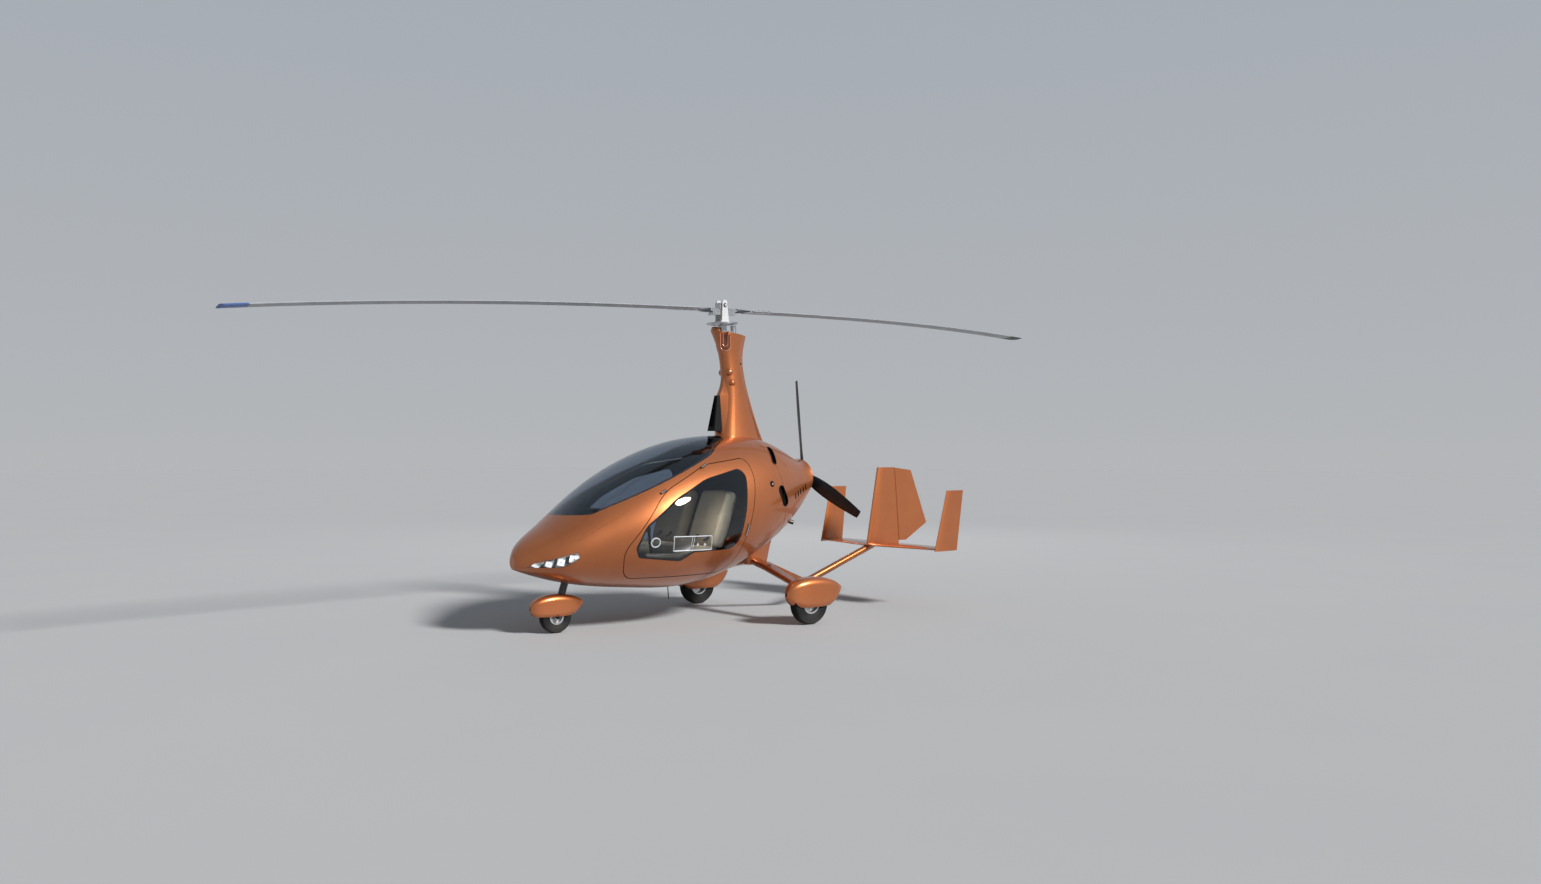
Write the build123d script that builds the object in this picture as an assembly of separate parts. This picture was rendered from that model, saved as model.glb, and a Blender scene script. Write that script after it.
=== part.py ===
from build123d import *
import os

# An enclosed two-seat autogyro with a pusher propeller, parked on three wheels.
# Millimetres. The nose points along -Y, the port side is +X, +Z is up, and the
# origin is on the ground below the middle of the rotor.

# Skin thicknesses and running gaps
wall = 30.0
glass = 6.0
lens_gap = 4.0
recess = 24.0
proud = 5.0
door_gap = 6.0
running_gap = 0.05

# Rotor
rotor_radius = 4200.0
rotor_hub_z = 2712.0
rotor_tilt = 2.26
rotor_turn = 2.8
rotor_droop = 145.0
droop_power = 2.45
blade_chord = 205.0
blade_thickness = 25.0
blade_root_radius = 330.0
hub_bar_half = 560.0
hub_bar_width = 68.0
hub_bar_thickness = 20.0

# Propeller
prop_y = 922.0
prop_z = 1260.0
prop_turn = -5.8
prop_blades = 3
prop_hub_radius = 78.0
prop_hub_length = 56.0

# Landing gear
main_x = 849.0
main_y = 312.0
main_radius = 178.0
main_width = 98.0
main_rim = 88.0
nose_y = -1625.0
nose_radius = 130.0
nose_width = 84.0
nose_rim = 62.0
axle_radius = 10.0
well_gap = 12.0
fork_rise_y = 0.298
fork_rise_z = 0.954
fork_half = 52.0
fork_tube_radius = 30.0
tow_pin_radius = 8.0
tow_pin_start = 72.0
tow_pin_end = 94.0

# Tail
boom_radius = 33.0
boom_bend = 170.0
boom_low = (0, 955, 236)
boom_front = (0, 420, 462)
boom_rear = (0, 1850, 562)
stabiliser_z = 550.0
fin_x = 829.0
rudder_nose = 15.0
hinge_low = (0, 2171, 578)
hinge_high = (0, 2109, 1303)

# Fuselage stations, nose to tail
# y, half width, top z, bottom z
stations = [
    (-2000, 45, 634, 530),
    (-1920, 180, 740, 499),
    (-1740, 345, 868, 441),
    (-1420, 490, 1122, 370),
    (-1000, 628, 1378, 324),
    (-500, 662, 1555, 309),
    (-50, 605, 1603, 410),
    (350, 478, 1575, 592),
    (680, 310, 1444, 818),
    (868, 228, 1393, 1036),
]
tip_round = 24.0

# Foremost station of the wall's inner face
wall_nose = (-1968, 74, 655, 541)

# Side outlines as corner points and their radii: y, z, radius
door_corners = [
    (-1302, 660, 170), (-1225, 430, 150), (-190, 430, 160), (-45, 1250, 300),
    (-75, 1412, 80), (-520, 1352, 400), (-950, 1135, 500),
]
window_corners = [
    (-1205, 690, 45), (-1165, 612, 40), (-790, 568, 60), (-690, 638, 50),
    (-225, 648, 130), (-128, 1335, 75), (-560, 1235, 500), (-860, 1082, 500),
    (-1135, 862, 200),
]
windscreen_corners = [
    (-1800, 935, 0), (-1490, 958, 120), (-1361, 1018, 100), (-400, 1430, 300),
    (-285, 1500, 120), (-78, 1585, 60), (-78, 1900, 0), (-1800, 1900, 0),
]
lamp_corners = [
    (-1945, 542, 0), (-1900, 592, 20), (-1612, 682, 12), (-1588, 642, 12), (-1700, 562, 40),
    (-1880, 526, 20),
]
# The four light cells behind each lens, front y and rear y
lamp_cells = [(-1930, -1862), (-1845, -1791), (-1772, -1714), (-1697, -1612)]

# The engine cowl starts at a line that leans aft towards its foot
cowl_corners = [(150, 1800, 0), (505, 500, 0), (1200, 500, 0), (1200, 1800, 0)]

# Gills in the side, from upper end to lower end: y, z, y, z, width
gills = [(318, 1500, 262, 1350, 56), (270, 1160, 380, 985, 82)]
# Louvres along the lower edge of the cowl: y, z
louvres = [(540, 1065), (590, 1083), (640, 1100), (690, 1117), (740, 1134)]
louvre_size = (58, 21)

# The upward-swinging doors turn about two hinges on this line of the port side
door_hinge_front = (555, -953.5, 1135)
door_hinge_rear = (519, -542.5, 1340)
hinge_radius = 9.0
hinge_length = 54.0

parts = {}


def half_oval(y, half_width, z_top, z_bottom):
    """The port half of one fuselage station: half an ellipse closed on the centre line."""
    half_height = (z_top - z_bottom) / 2
    plane = Plane(origin=(0, y, z_bottom + half_height), x_dir=(1, 0, 0), z_dir=(0, -1, 0))
    bow = EllipticalCenterArc((0, 0), half_width, half_height, start_angle=-90, arc_size=180)
    centre = Line((0, half_height), (0, -half_height))
    return plane * make_face(Curve() + [bow, centre])


def half_fuselage(inset=0.0, tail_more=0.0):
    """The port half of the fuselage form, or of the same form drawn in by a skin thickness."""
    rows = [(y, wide - inset, top - inset, low + inset) for y, wide, top, low in stations]
    if inset == wall:
        rows = [wall_nose] + rows[1:]
    tail_y, *tail_size = rows[-1]
    rows[-1] = (tail_y + tail_more, *tail_size)
    return loft([half_oval(*row) for row in rows])


def whole(half):
    """A half on the port side and its mirror image, as one solid."""
    return half + mirror(half, about=Plane.YZ)


def side_face(corners, x=0.0):
    """A closed outline in the side view, with rounded corners."""
    points = [(y, z) for y, z, _ in corners]
    radii = [max(r, 0.5) for _, _, r in corners]
    outline = FilletPolyline(*points, radius=radii, close=True)
    plane = Plane(origin=(x, 0, 0), x_dir=(0, 1, 0), z_dir=(1, 0, 0))
    return plane * make_face(outline)


def side_prism(corners, x_low, x_high, grow=0.0):
    face = side_face(corners, x_low)
    if grow:
        face = offset(face, grow, kind=Kind.ARC)
    return extrude(face, x_high - x_low)


def side_slot(y, z, rise_y, rise_z, length, width, x_low=100, x_high=900):
    """A round-ended slot through the port side, lying along one direction of the side view."""
    plane = Plane(origin=(x_low, y, z), x_dir=(0, rise_y, rise_z), z_dir=(1, 0, 0))
    return extrude(plane * SlotOverall(length, width), x_high - x_low)


def box(low, high):
    size = [b - a for a, b in zip(low, high)]
    middle = [(a + b) / 2 for a, b in zip(low, high)]
    return Pos(*middle) * Box(*size)


def port_and_starboard(name, solid):
    parts[name + "_left"] = solid
    parts[name + "_right"] = mirror(solid, about=Plane.YZ)


def cylinder_between(start, end, radius):
    direction = Vector(*end) - Vector(*start)
    plane = Plane(origin=start, z_dir=direction)
    return extrude(plane * Circle(radius), direction.length)


def disc_x(x_low, x_high, y, z, radius):
    return cylinder_between((x_low, y, z), (x_high, y, z), radius)


# Fuselage, worked out on the port half and mirrored
body = half_fuselage()
tip_edges = [e for e in body.edges() if abs(e.center().Y - stations[0][0]) < 1 and e.center().X > 1]
body = fillet(tip_edges, tip_round)
hollow = half_fuselage(inset=wall, tail_more=60)
skin = body - hollow
pane = body - half_fuselage(inset=glass, tail_more=60)
standing_proud = half_fuselage(inset=-proud)
sunk = half_fuselage(inset=recess, tail_more=60)
screen_prism = side_prism(windscreen_corners, -10, 900)
door_hole = side_prism(door_corners, 300, 900)
door_block = side_prism(door_corners, 300, 900, grow=-door_gap)
window_prism = side_prism(window_corners, 300, 900)
lamp_prism = side_prism(lamp_corners, 60, 900)
cowl_prism = side_prism(cowl_corners, -10, 900)

gill_holes = []
gill_mouths = []
rim_wall = 6.0
for y_high, z_high, y_low, z_low, width in gills:
    rise = Vector(0, y_high - y_low, z_high - z_low)
    middle = ((y_high + y_low) / 2, (z_high + z_low) / 2, rise.Y, rise.Z)
    gill_holes.append(side_slot(*middle, rise.length, width))
    gill_mouths.append(side_slot(*middle, rise.length - 2 * rim_wall, width - 2 * rim_wall))
louvre_holes = [side_slot(y, z, -0.25, 1, *louvre_size, x_low=200, x_high=600) for y, z in louvres]

# Each door turns on two barrels set into the seam
hinge_line = Vector(*door_hinge_rear) - Vector(*door_hinge_front)
hinge_run = hinge_line.normalized() * (hinge_length / 2)


def hinge_barrels(radius, more=0.0):
    spread = hinge_run * (1 + more / hinge_length)
    ends = [Vector(*point) for point in (door_hinge_front, door_hinge_rear)]
    front, rear = [cylinder_between(tuple(p - spread), tuple(p + spread), radius) for p in ends]
    return front, rear


barrels = hinge_barrels(hinge_radius)
barrel_room = hinge_barrels(hinge_radius + 4, more=12)

# The pod has a bulkhead behind the seats and a recessed filler cap on the port side
bulkhead = hollow & box((0, 20, 0), (900, 45, 2000))
shell = skin - cowl_prism - screen_prism - door_hole - lamp_prism + bulkhead
for hole in gill_holes:
    shell -= hole
for room in barrel_room:
    shell -= room
cap_point, cap_out = Vector(533, 159, 1180), Vector(0.94, 0.26, 0.22).normalized()
cap_seat = cylinder_between(tuple(cap_point - cap_out * 10), tuple(cap_point + cap_out * 30), 27)
cap = cylinder_between(tuple(cap_point - cap_out * 10), tuple(cap_point + cap_out * 5), 26)
cap += cylinder_between(tuple(cap_point + cap_out * 5), tuple(cap_point + cap_out * 10), 9)
parts["fuel_cap"] = cap
parts["pod_shell"] = whole(shell) - cap_seat

exhaust_start, exhaust_end = (196, 512, 855), (243, 622, 818)
exhaust_radius = 19.0
cowl = skin & cowl_prism
for hole in gill_holes + louvre_holes:
    cowl -= hole
parts["engine_cowl"] = whole(cowl) - cylinder_between(exhaust_start, exhaust_end, exhaust_radius)
parts["exhaust_pipe"] = cylinder_between(exhaust_start, exhaust_end, exhaust_radius)
parts["exhaust_pipe"] -= cylinder_between(exhaust_start, exhaust_end, exhaust_radius - 3)

gill = Part()
for hole, mouth in zip(gill_holes, gill_mouths):
    gill += ((standing_proud - hollow) & hole) - ((standing_proud - sunk) & mouth)
parts["side_gills"] = gill + mirror(gill, about=Plane.YZ)

parts["windscreen"] = whole(pane & screen_prism)
door = (skin & door_block) - window_prism
handle_corners = [(-131, 852, 6), (-147, 748, 6), (-161, 750, 6), (-145, 854, 6)]
door += (standing_proud - sunk) & side_prism(handle_corners, 300, 900)
door_hinges = Part()
for barrel in barrels:
    door -= barrel
    door_hinges += barrel
port_and_starboard("door", door)
port_and_starboard("door_hinge", door_hinges)
port_and_starboard("door_window", pane & window_prism)
port_and_starboard("headlamp", pane & lamp_prism)

# Lamp tray behind the lens, with one open cell for each light
lens_back = half_fuselage(inset=glass + lens_gap, tail_more=60)
tray = (lens_back - hollow) & lamp_prism
cell_room = (lens_back - sunk) & side_prism(lamp_corners, 60, 900, grow=-5)
for front_y, rear_y in lamp_cells:
    tray -= cell_room & box((0, front_y, 400), (900, rear_y, 800))
port_and_starboard("headlamp_tray", tray)

whole_body = whole(body)
whole_hollow = whole(hollow)


def spindle(z, front_y, rear_y, half_width, rear_half=14.0):
    """A streamlined level section: round nose, bowed sides, narrow round tail."""
    shoulder = front_y + half_width
    tail = rear_y - rear_half
    nose = ThreePointArc((-half_width, shoulder), (0, front_y), (half_width, shoulder))
    port = TangentArc((half_width, shoulder), (rear_half, tail), tangent=(0, 1))
    stern = ThreePointArc((rear_half, tail), (0, rear_y), (-rear_half, tail))
    board = TangentArc((-half_width, shoulder), (-rear_half, tail), tangent=(0, 1))
    return Pos(0, 0, z) * make_face(Curve() + [nose, port, stern, board])


# Pylon below the engine bay, which carries the gear and the boom
# z, front y, rear y, half width
pylon_sections = [(660, 200, 560, 80), (560, 235, 530, 70), (440, 270, 500, 56)]
pylon = loft([spindle(*row) for row in pylon_sections], ruled=True) - whole_body
boom_path = FilletPolyline(boom_front, boom_low, boom_rear, radius=boom_bend)
boom_plane = Plane(origin=boom_front, z_dir=Vector(*boom_low) - Vector(*boom_front))
boom = sweep(boom_plane * Circle(boom_radius), path=boom_path)

# Gear bow: x, y, z, chord, thickness
leg_sections = [(0, 345, 478, 120, 56), (240, 335, 432, 116, 54), (772, 316, 292, 92, 44)]


def leg_face(x, y, z, chord, thickness):
    plane = Plane(origin=(x, y, z), x_dir=(0, 1, 0), z_dir=(1, 0, 0))
    return plane * SlotOverall(chord, thickness)


leg = loft([leg_face(*row) for row in leg_sections], ruled=True)
bow = leg + mirror(leg, about=Plane.YZ)
parts["gear_bow"] = bow
boom -= bow
parts["belly_pylon"] = pylon - bow - boom


# Wheels
def tyre(x, y, radius, width, rim_radius):
    """A round-shouldered tyre."""
    half = width / 2
    shoulder = radius - 0.22 * width
    profile = Polyline(
        (-half * 0.72, rim_radius), (-half, rim_radius + 12), (-half, shoulder),
        (-half * 0.62, radius - 3), (0, radius), (half * 0.62, radius - 3),
        (half, shoulder), (half, rim_radius + 12), (half * 0.72, rim_radius), close=True,
    )
    return Pos(x, y, radius) * revolve(Plane.XY * make_face(profile), Axis.X, 360)


def rim(x, y, z, rim_radius, half, bore):
    """A dished rim with a hub."""
    profile = Polyline(
        (-half, rim_radius - 14), (-half, rim_radius), (half, rim_radius), (half, rim_radius - 14),
        (half * 0.35, rim_radius - 20), (half * 0.35, bore + 22), (half * 0.8, bore + 14),
        (half * 0.8, bore), (-half * 0.8, bore), (-half * 0.8, bore + 14),
        (-half * 0.1, bore + 22), (-half * 0.1, rim_radius - 20), close=True,
    )
    return Pos(x, y, z) * revolve(Plane.XY * make_face(profile), Axis.X, 360)


bore_radius = axle_radius + running_gap
port_and_starboard("main_tyre", tyre(main_x, main_y, main_radius, main_width, main_rim))
port_and_starboard("main_rim", rim(main_x, main_y, main_radius, main_rim, 37, bore_radius))
parts["nose_tyre"] = tyre(0, nose_y, nose_radius, nose_width, nose_rim)
parts["nose_rim"] = rim(0, nose_y, nose_radius, nose_rim, 30, bore_radius)

# Main knuckle: a plate inboard of the wheel with the stub axle
plate_x, plate_end = 772.0, 786.0
plate_radius = 34.0
plate_top_z = 292.0
plate = disc_x(plate_x, plate_end, main_y, main_radius, plate_radius)
plate += disc_x(plate_x, plate_end, main_y + 4, plate_top_z, plate_radius)
plate += box((plate_x, main_y - 26, main_radius), (plate_end, main_y + 30, plate_top_z))
stub = disc_x(plate_end - 1, main_x + 36, main_y, main_radius, axle_radius)
port_and_starboard("main_axle", plate + stub)

# Wheel spats: y, half width, half height, middle z
main_spat_sections = [
    (66, 14, 20, 262), (100, 48, 70, 264), (190, 76, 122, 260), (345, 84, 138, 260),
    (520, 72, 110, 262), (620, 44, 48, 280), (668, 9, 9, 292),
]
nose_spat_sections = [
    (-1846, 12, 20, 206), (-1818, 40, 58, 206), (-1730, 64, 92, 211), (-1590, 70, 99, 214),
    (-1470, 56, 72, 218), (-1398, 26, 28, 230), (-1374, 8, 8, 234),
]
spat_round = 0.72
spat_wall = 5.0


def spat_form(sections, x=0.0, inset=0.0):
    """A long drop shape from upright rounded rectangles."""
    faces = []
    for y, half_width, half_height, z in sections:
        if inset and half_width < inset + 4:
            continue
        plane = Plane(origin=(x, y, z), x_dir=(1, 0, 0), z_dir=(0, -1, 0))
        wide, high = half_width - inset, half_height - inset
        faces.append(plane * RectangleRounded(2 * wide, 2 * high, spat_round * min(wide, high)))
    return loft(faces)


def wheel_well(x, y, radius, half, cut_z):
    """Room for a wheel, and for everything below the spat's lower edge."""
    well = disc_x(x - half, x + half, y, radius, radius + well_gap)
    return well + box((x - 110, y - 400, 0), (x + 110, y + 400, cut_z))


spat = spat_form(main_spat_sections, main_x) - spat_form(main_spat_sections, main_x, spat_wall)
spat -= wheel_well(main_x, main_y, main_radius, main_width / 2 + 8, 150)
port_and_starboard("main_spat", spat - leg - plate)

# Nose fork: steering tube, crown, two blades down to the axle, and the tow pins
fork_dir = Vector(0, fork_rise_y, fork_rise_z)
axle_point = Vector(0, nose_y, nose_radius)
crown_point = axle_point + fork_dir * 158
head_point = axle_point + fork_dir * 300
fork = cylinder_between(tuple(crown_point - fork_dir * 6), tuple(head_point), fork_tube_radius)
crown_plane = Plane(origin=tuple(crown_point), x_dir=(1, 0, 0), z_dir=tuple(fork_dir))
fork += extrude(crown_plane * RectangleRounded(118, 64, 14), 14)
for side in (-1, 1):
    foot = tuple(axle_point + Vector(side * fork_half, 0, 0))
    blade_plane = Plane(origin=foot, x_dir=(1, 0, 0), z_dir=tuple(fork_dir))
    fork += extrude(blade_plane * RectangleRounded(8, 30, 3), 162)
    fork += disc_x(side * fork_half - 4, side * fork_half + 4, nose_y, nose_radius, 17)
fork += disc_x(-fork_half, fork_half, nose_y, nose_radius, axle_radius)
fork += disc_x(-tow_pin_start, -fork_half, nose_y, nose_radius, tow_pin_radius + 4)
fork += disc_x(fork_half, tow_pin_start, nose_y, nose_radius, tow_pin_radius + 4)
fork += disc_x(-tow_pin_end, -tow_pin_start, nose_y, nose_radius, tow_pin_radius)
fork += disc_x(tow_pin_start, tow_pin_end, nose_y, nose_radius, tow_pin_radius)
parts["nose_fork"] = fork
nose_spat = spat_form(nose_spat_sections) - spat_form(nose_spat_sections, 0.0, spat_wall - 1)
nose_spat -= wheel_well(0, nose_y, nose_radius, 50, 138)
parts["nose_spat"] = nose_spat - fork
fork_room = cylinder_between(
    tuple(crown_point + fork_dir * 40), tuple(head_point + fork_dir * 60), fork_tube_radius + 6
)
parts["pod_shell"] -= fork_room


# Fin, rudder and outboard fins
def blade_section(z, lead_y, trail_y, half, trail_half):
    """A level fin section: round nose and straight sides to a blunt tail."""
    shoulder = lead_y + 0.32 * (trail_y - lead_y)
    nose = EllipticalCenterArc((0, shoulder), half, shoulder - lead_y, start_angle=180, arc_size=180)
    port = Line((half, shoulder), (trail_half, trail_y))
    tail = Line((trail_half, trail_y), (-trail_half, trail_y))
    board = Line((-trail_half, trail_y), (-half, shoulder))
    return Pos(0, 0, z) * make_face(Curve() + [nose, port, tail, board])


def rudder_section(z, hinge_y, trail_y):
    nose = ThreePointArc((-rudder_nose, hinge_y), (0, hinge_y - rudder_nose), (rudder_nose, hinge_y))
    port = Line((rudder_nose, hinge_y), (3, trail_y))
    tail = Line((3, trail_y), (-3, trail_y))
    board = Line((-3, trail_y), (-rudder_nose, hinge_y))
    return Pos(0, 0, z) * make_face(Curve() + [nose, port, tail, board])


fin = loft([blade_section(552, 1732, 2152, 26, 17), blade_section(1306, 1873, 2090, 20, 14)], ruled=True)
hinge_rise = Vector(*hinge_high) - Vector(*hinge_low)
cove_low = tuple(Vector(*hinge_low) - hinge_rise * 0.1)
cove_high = tuple(Vector(*hinge_high) + hinge_rise * 0.05)
fin -= cylinder_between(cove_low, cove_high, rudder_nose + 6)
rudder = loft(
    [rudder_section(hinge_low[2], hinge_low[1], 2620), rudder_section(hinge_high[2], hinge_high[1], 2330)],
    ruled=True,
)
rudder_corners = [
    (2060, 560, 0), (2255, 578, 30), (2549, 743, 14), (2329, 1276, 20), (2090, 1303, 0), (2060, 1303, 0),
]
parts["rudder"] = rudder & side_prism(rudder_corners, -40, 40)

# Stabiliser: x, leading y, trailing y, half thickness
stabiliser_sections = [(0, 1700, 2132, 18), (815, 1838, 2130, 13)]


def plank_section(x, lead_y, trail_y, half):
    shoulder = lead_y + 0.3 * (trail_y - lead_y)
    nose = EllipticalCenterArc((shoulder, 0), shoulder - lead_y, half, start_angle=90, arc_size=180)
    top = Line((shoulder, half), (trail_y, 3))
    tail = Line((trail_y, 3), (trail_y, -3))
    bottom = Line((trail_y, -3), (shoulder, -half))
    plane = Plane(origin=(x, 0, stabiliser_z), x_dir=(0, 1, 0), z_dir=(1, 0, 0))
    return plane * make_face(Curve() + [nose, top, tail, bottom])


half_plank = loft([plank_section(*row) for row in stabiliser_sections], ruled=True)
stabiliser = half_plank + mirror(half_plank, about=Plane.YZ)
parts["stabiliser"] = stabiliser
parts["fin"] = fin - stabiliser
# The boom ends against the underside of the stabiliser
parts["tail_boom"] = boom - box((-60, 1600, stabiliser_z), (60, 2000, 700)) - stabiliser

outboard_foot = Pos(-7, 0, 0) * blade_section(532, 1838, 2130, 15, 4)
outboard_head = Pos(9, 0, 0) * blade_section(1098, 1980, 2197, 11, 4)
outboard = Pos(fin_x, 0, 0) * loft([outboard_foot, outboard_head], ruled=True)
port_and_starboard("outer_fin", outboard - stabiliser)

# Mast fairing: z, front y, rear y, half width
mast_sections = [
    (1480, -80, 505, 136), (1620, -46, 424, 116), (1790, -14, 354, 96), (1940, 4, 300, 84),
    (2100, 6, 252, 74), (2250, -8, 226, 69), (2400, -44, 236, 78), (2560, -120, 270, 94),
]
mast = loft([spindle(*row, rear_half=20.0) for row in mast_sections])
mast -= side_prism([(-300, 2590, 0), (500, 2352, 0), (500, 2800, 0), (-300, 2800, 0)], -300, 300)

# z, length and width of the well that the rotor head stands in
well_rows = [(2360, 120, 84), (2600, 230, 108)]
mast -= loft([Pos(0, 80, z) * RectangleRounded(wide, long, 25) for z, long, wide in well_rows])

# A round-ended pocket on each side of the mast's brow, square to the skin there
pocket_point, pocket_out, pocket_depth = Vector(63, -19, 2483), Vector(0.78, -0.62, 0), 12
pocket_plane = Plane(
    origin=tuple(pocket_point - pocket_out * pocket_depth), x_dir=(0, 0, 1), z_dir=tuple(pocket_out)
)
pocket = extrude(pocket_plane * SlotOverall(250, 68), 80)
mast -= pocket
mast -= mirror(pocket, about=Plane.YZ)

# Two blisters below the pocket, their middles a little under the skin: x, y, z
blister_radius = 34.0
for x, y, z in [(52, 45, 2164), (57, 70, 2070)]:
    for side in (-1, 1):
        mast += Pos(side * x, y, z) * Sphere(blister_radius)
parts["mast_fairing"] = mast - whole_body

# Black air intake in front of the mast's foot, with an open mouth
intake_foot = Pos(0, -52, 1640) * RectangleRounded(116, 140, 20)
intake_head = Pos(0, -34, 1955) * RectangleRounded(52, 64, 12)
intake = loft([intake_foot, intake_head])
mouth_foot = Pos(0, -117, 1680) * RectangleRounded(84, 60, 12)
mouth_head = Pos(0, -66, 1932) * RectangleRounded(32, 30, 8)
intake -= loft([mouth_foot, mouth_head])
parts["air_intake"] = intake - mast - whole_body

# Rotor: built square to its own axis, then tilted about the hub
rotor_place = Pos(0, 0, rotor_hub_z) * Rot(rotor_tilt, 0, 0) * Rot(0, 0, rotor_turn)


def rotor_blade_face(s):
    """A blade section at distance s from the hub, in the rotor's own frame."""
    drop = rotor_droop * (s / rotor_radius) ** droop_power
    lead, trail = -0.28 * blade_chord, 0.72 * blade_chord
    crown = lead + 0.32 * blade_chord
    top = ThreePointArc((lead, 0), (crown, 0.6 * blade_thickness), (trail, 0))
    bottom = ThreePointArc((trail, 0), (crown, -0.4 * blade_thickness), (lead, 0))
    plane = Plane(origin=(0, -s, -drop), x_dir=(1, 0, 0), z_dir=(0, -1, 0))
    return plane * make_face(Curve() + [top, bottom])


def upright(radius, low, high):
    return Pos(0, 0, (low + high) / 2) * Cylinder(radius, high - low)


blade_stations = [blade_root_radius, 1300, 2300, 3300, rotor_radius]
rotor_blade = loft([rotor_blade_face(s) for s in blade_stations])
bar = box(
    (-hub_bar_width / 2, -hub_bar_half, -hub_bar_thickness / 2),
    (hub_bar_width / 2, hub_bar_half, hub_bar_thickness / 2),
)
rotor_blade -= bar
parts["rotor_blade_front"] = rotor_place * rotor_blade
parts["rotor_blade_rear"] = rotor_place * (Rot(0, 0, 180) * rotor_blade)

# Hub: the bar teeters on a bolt between two tapered cheeks
cheek_x, cheek_end = 36.0, 50.0
foot_low, foot_high = -108.0, -94.0
teeter_z = 44.0
teeter_bolt = disc_x(-62, 62, 0, teeter_z, 9)
teeter_block = box((-34, -46, -30), (34, 46, 66))
clamp_block = box((-34, -125, -42), (34, 125, 12))
cheek_corners = [(-38, foot_high, 0), (38, foot_high, 0), (24, 92, 20), (-24, 92, 20)]
cheek = side_prism(cheek_corners, cheek_x, cheek_end)
tower = cheek + mirror(cheek, about=Plane.YZ) + box((-50, -46, foot_low), (50, 46, foot_high))
parts["rotor_hub_bar"] = rotor_place * ((bar + teeter_block + clamp_block) - teeter_bolt)
parts["rotor_tower"] = rotor_place * (tower + teeter_bolt)

# Gear ring for spinning the rotor up, carried by a disc on the rotor shaft
ring_radius, ring_bore = 138.0, 104.0
shaft_radius = 16.0
bearing_top = -132.0
ring = upright(ring_radius, -124, -110) - upright(ring_bore, -124, -110)
ring += upright(ring_bore, -118, foot_low)
ring += upright(shaft_radius, bearing_top - 40, -118)
parts["prerotator_ring"] = rotor_place * ring

# Rotor head: bearing housing, gimbal block and the pinion housing of the spin-up drive
head = upright(38, -262, bearing_top) + upright(54, -196, -184)
head += box((-34, -6, -352), (34, 100, -252))
head += box((-22, 20, -196), (22, 124, -184)) + Pos(0, 124, 0) * upright(26, -196, -132)
head -= upright(shaft_radius + running_gap, bearing_top - 44, bearing_top)
parts["rotor_head"] = (rotor_place * head) - parts["mast_fairing"]

# Propeller
prop_place = Pos(0, prop_y, prop_z) * Rot(0, prop_turn, 0)
# radius, chord, thickness, pitch
prop_sections = [
    (62, 58, 34, 42), (190, 104, 24, 36), (450, 124, 17, 29), (700, 98, 12, 25), (870, 68, 8, 22),
]


def prop_face(radius, chord, thickness, pitch):
    front, back = (-chord / 2, 0), (chord / 2, 0)
    top = ThreePointArc(front, (-chord * 0.12, thickness * 0.7), back)
    bottom = ThreePointArc(back, (-chord * 0.12, -thickness * 0.3), front)
    plane = Plane(origin=(0, 0, radius), x_dir=(1, 0, 0), z_dir=(0, 0, 1))
    return plane * (Rot(0, 0, -pitch) * make_face(Curve() + [top, bottom]))


prop_blade = loft([prop_face(*row) for row in prop_sections])
hub_disc = Rot(90, 0, 0) * Cylinder(prop_hub_radius, prop_hub_length)
hub_nose = Rot(90, 0, 0) * (Pos(0, 0, -prop_hub_length / 2 - 10) * Cone(46, 30, 26))
for index in range(prop_blades):
    turned = Rot(0, index * 360 / prop_blades, 0) * prop_blade
    parts[f"propeller_blade_{index + 1}"] = prop_place * (turned - hub_disc)
parts["propeller_hub"] = prop_place * (hub_disc + hub_nose)

# Engine on four bearers from the bulkhead, with its gearbox, as one plain block
engine = box((-190, 150, 960), (190, 640, 1330))
for x in (-150, 150):
    for z in (1000, 1290):
        engine += cylinder_between((x, 45, z), (x, 150, z), 16)
gearbox = cylinder_between((0, 640, prop_z), (0, prop_y - prop_hub_length / 2 - 1, prop_z), 60)
parts["engine_block"] = engine + gearbox

# Cabin
seat_x = 292.0
seat_half = 235.0
seat_corners = [
    (-800, 560, 30), (-800, 690, 50), (-420, 650, 60), (-250, 1130, 60), (-130, 1120, 40),
    (-215, 700, 60), (-240, 530, 30),
]
port_and_starboard("seat", side_prism(seat_corners, seat_x - seat_half, seat_x + seat_half) & hollow)

# Instrument panel: y, middle z, width, height, corner radius
panel_sections = [(-1290, 850, 620, 260, 40), (-1215, 835, 680, 300, 50)]
panel_faces = []
for y, z, width, height, corner in panel_sections:
    plane = Plane(origin=(0, y, z), x_dir=(1, 0, 0), z_dir=(0, -1, 0))
    panel_faces.append(plane * RectangleRounded(width, height, corner))
parts["instrument_panel"] = loft(panel_faces) & whole_hollow
console_corners = [
    (-1285, 300, 0), (-1230, 690, 30), (-820, 560, 60), (-300, 540, 20), (-300, 300, 0),
]
console = side_prism(console_corners, -50, 50)
parts["centre_console"] = (console & whole_hollow) - parts["instrument_panel"]

# Control sticks: y, z and radius from the floor to the grip
stick_rows = [(-890, 395, 20), (-900, 565, 12), (-930, 800, 19), (-950, 900, 19)]
for side, name in ((1, "left"), (-1, "right")):
    stick = Part()
    for (y_low, z_low, radius), (y_high, z_high, _) in zip(stick_rows, stick_rows[1:]):
        start = (side * seat_x, y_low, z_low)
        stick += cylinder_between(start, (side * seat_x, y_high, z_high + 4), radius)
    parts[f"control_stick_{name}"] = stick & whole_hollow

# Aerial below the cabin
parts["belly_aerial"] = cylinder_between((0, -562, 330), (0, -551, 190), 4) - whole_body

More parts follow.
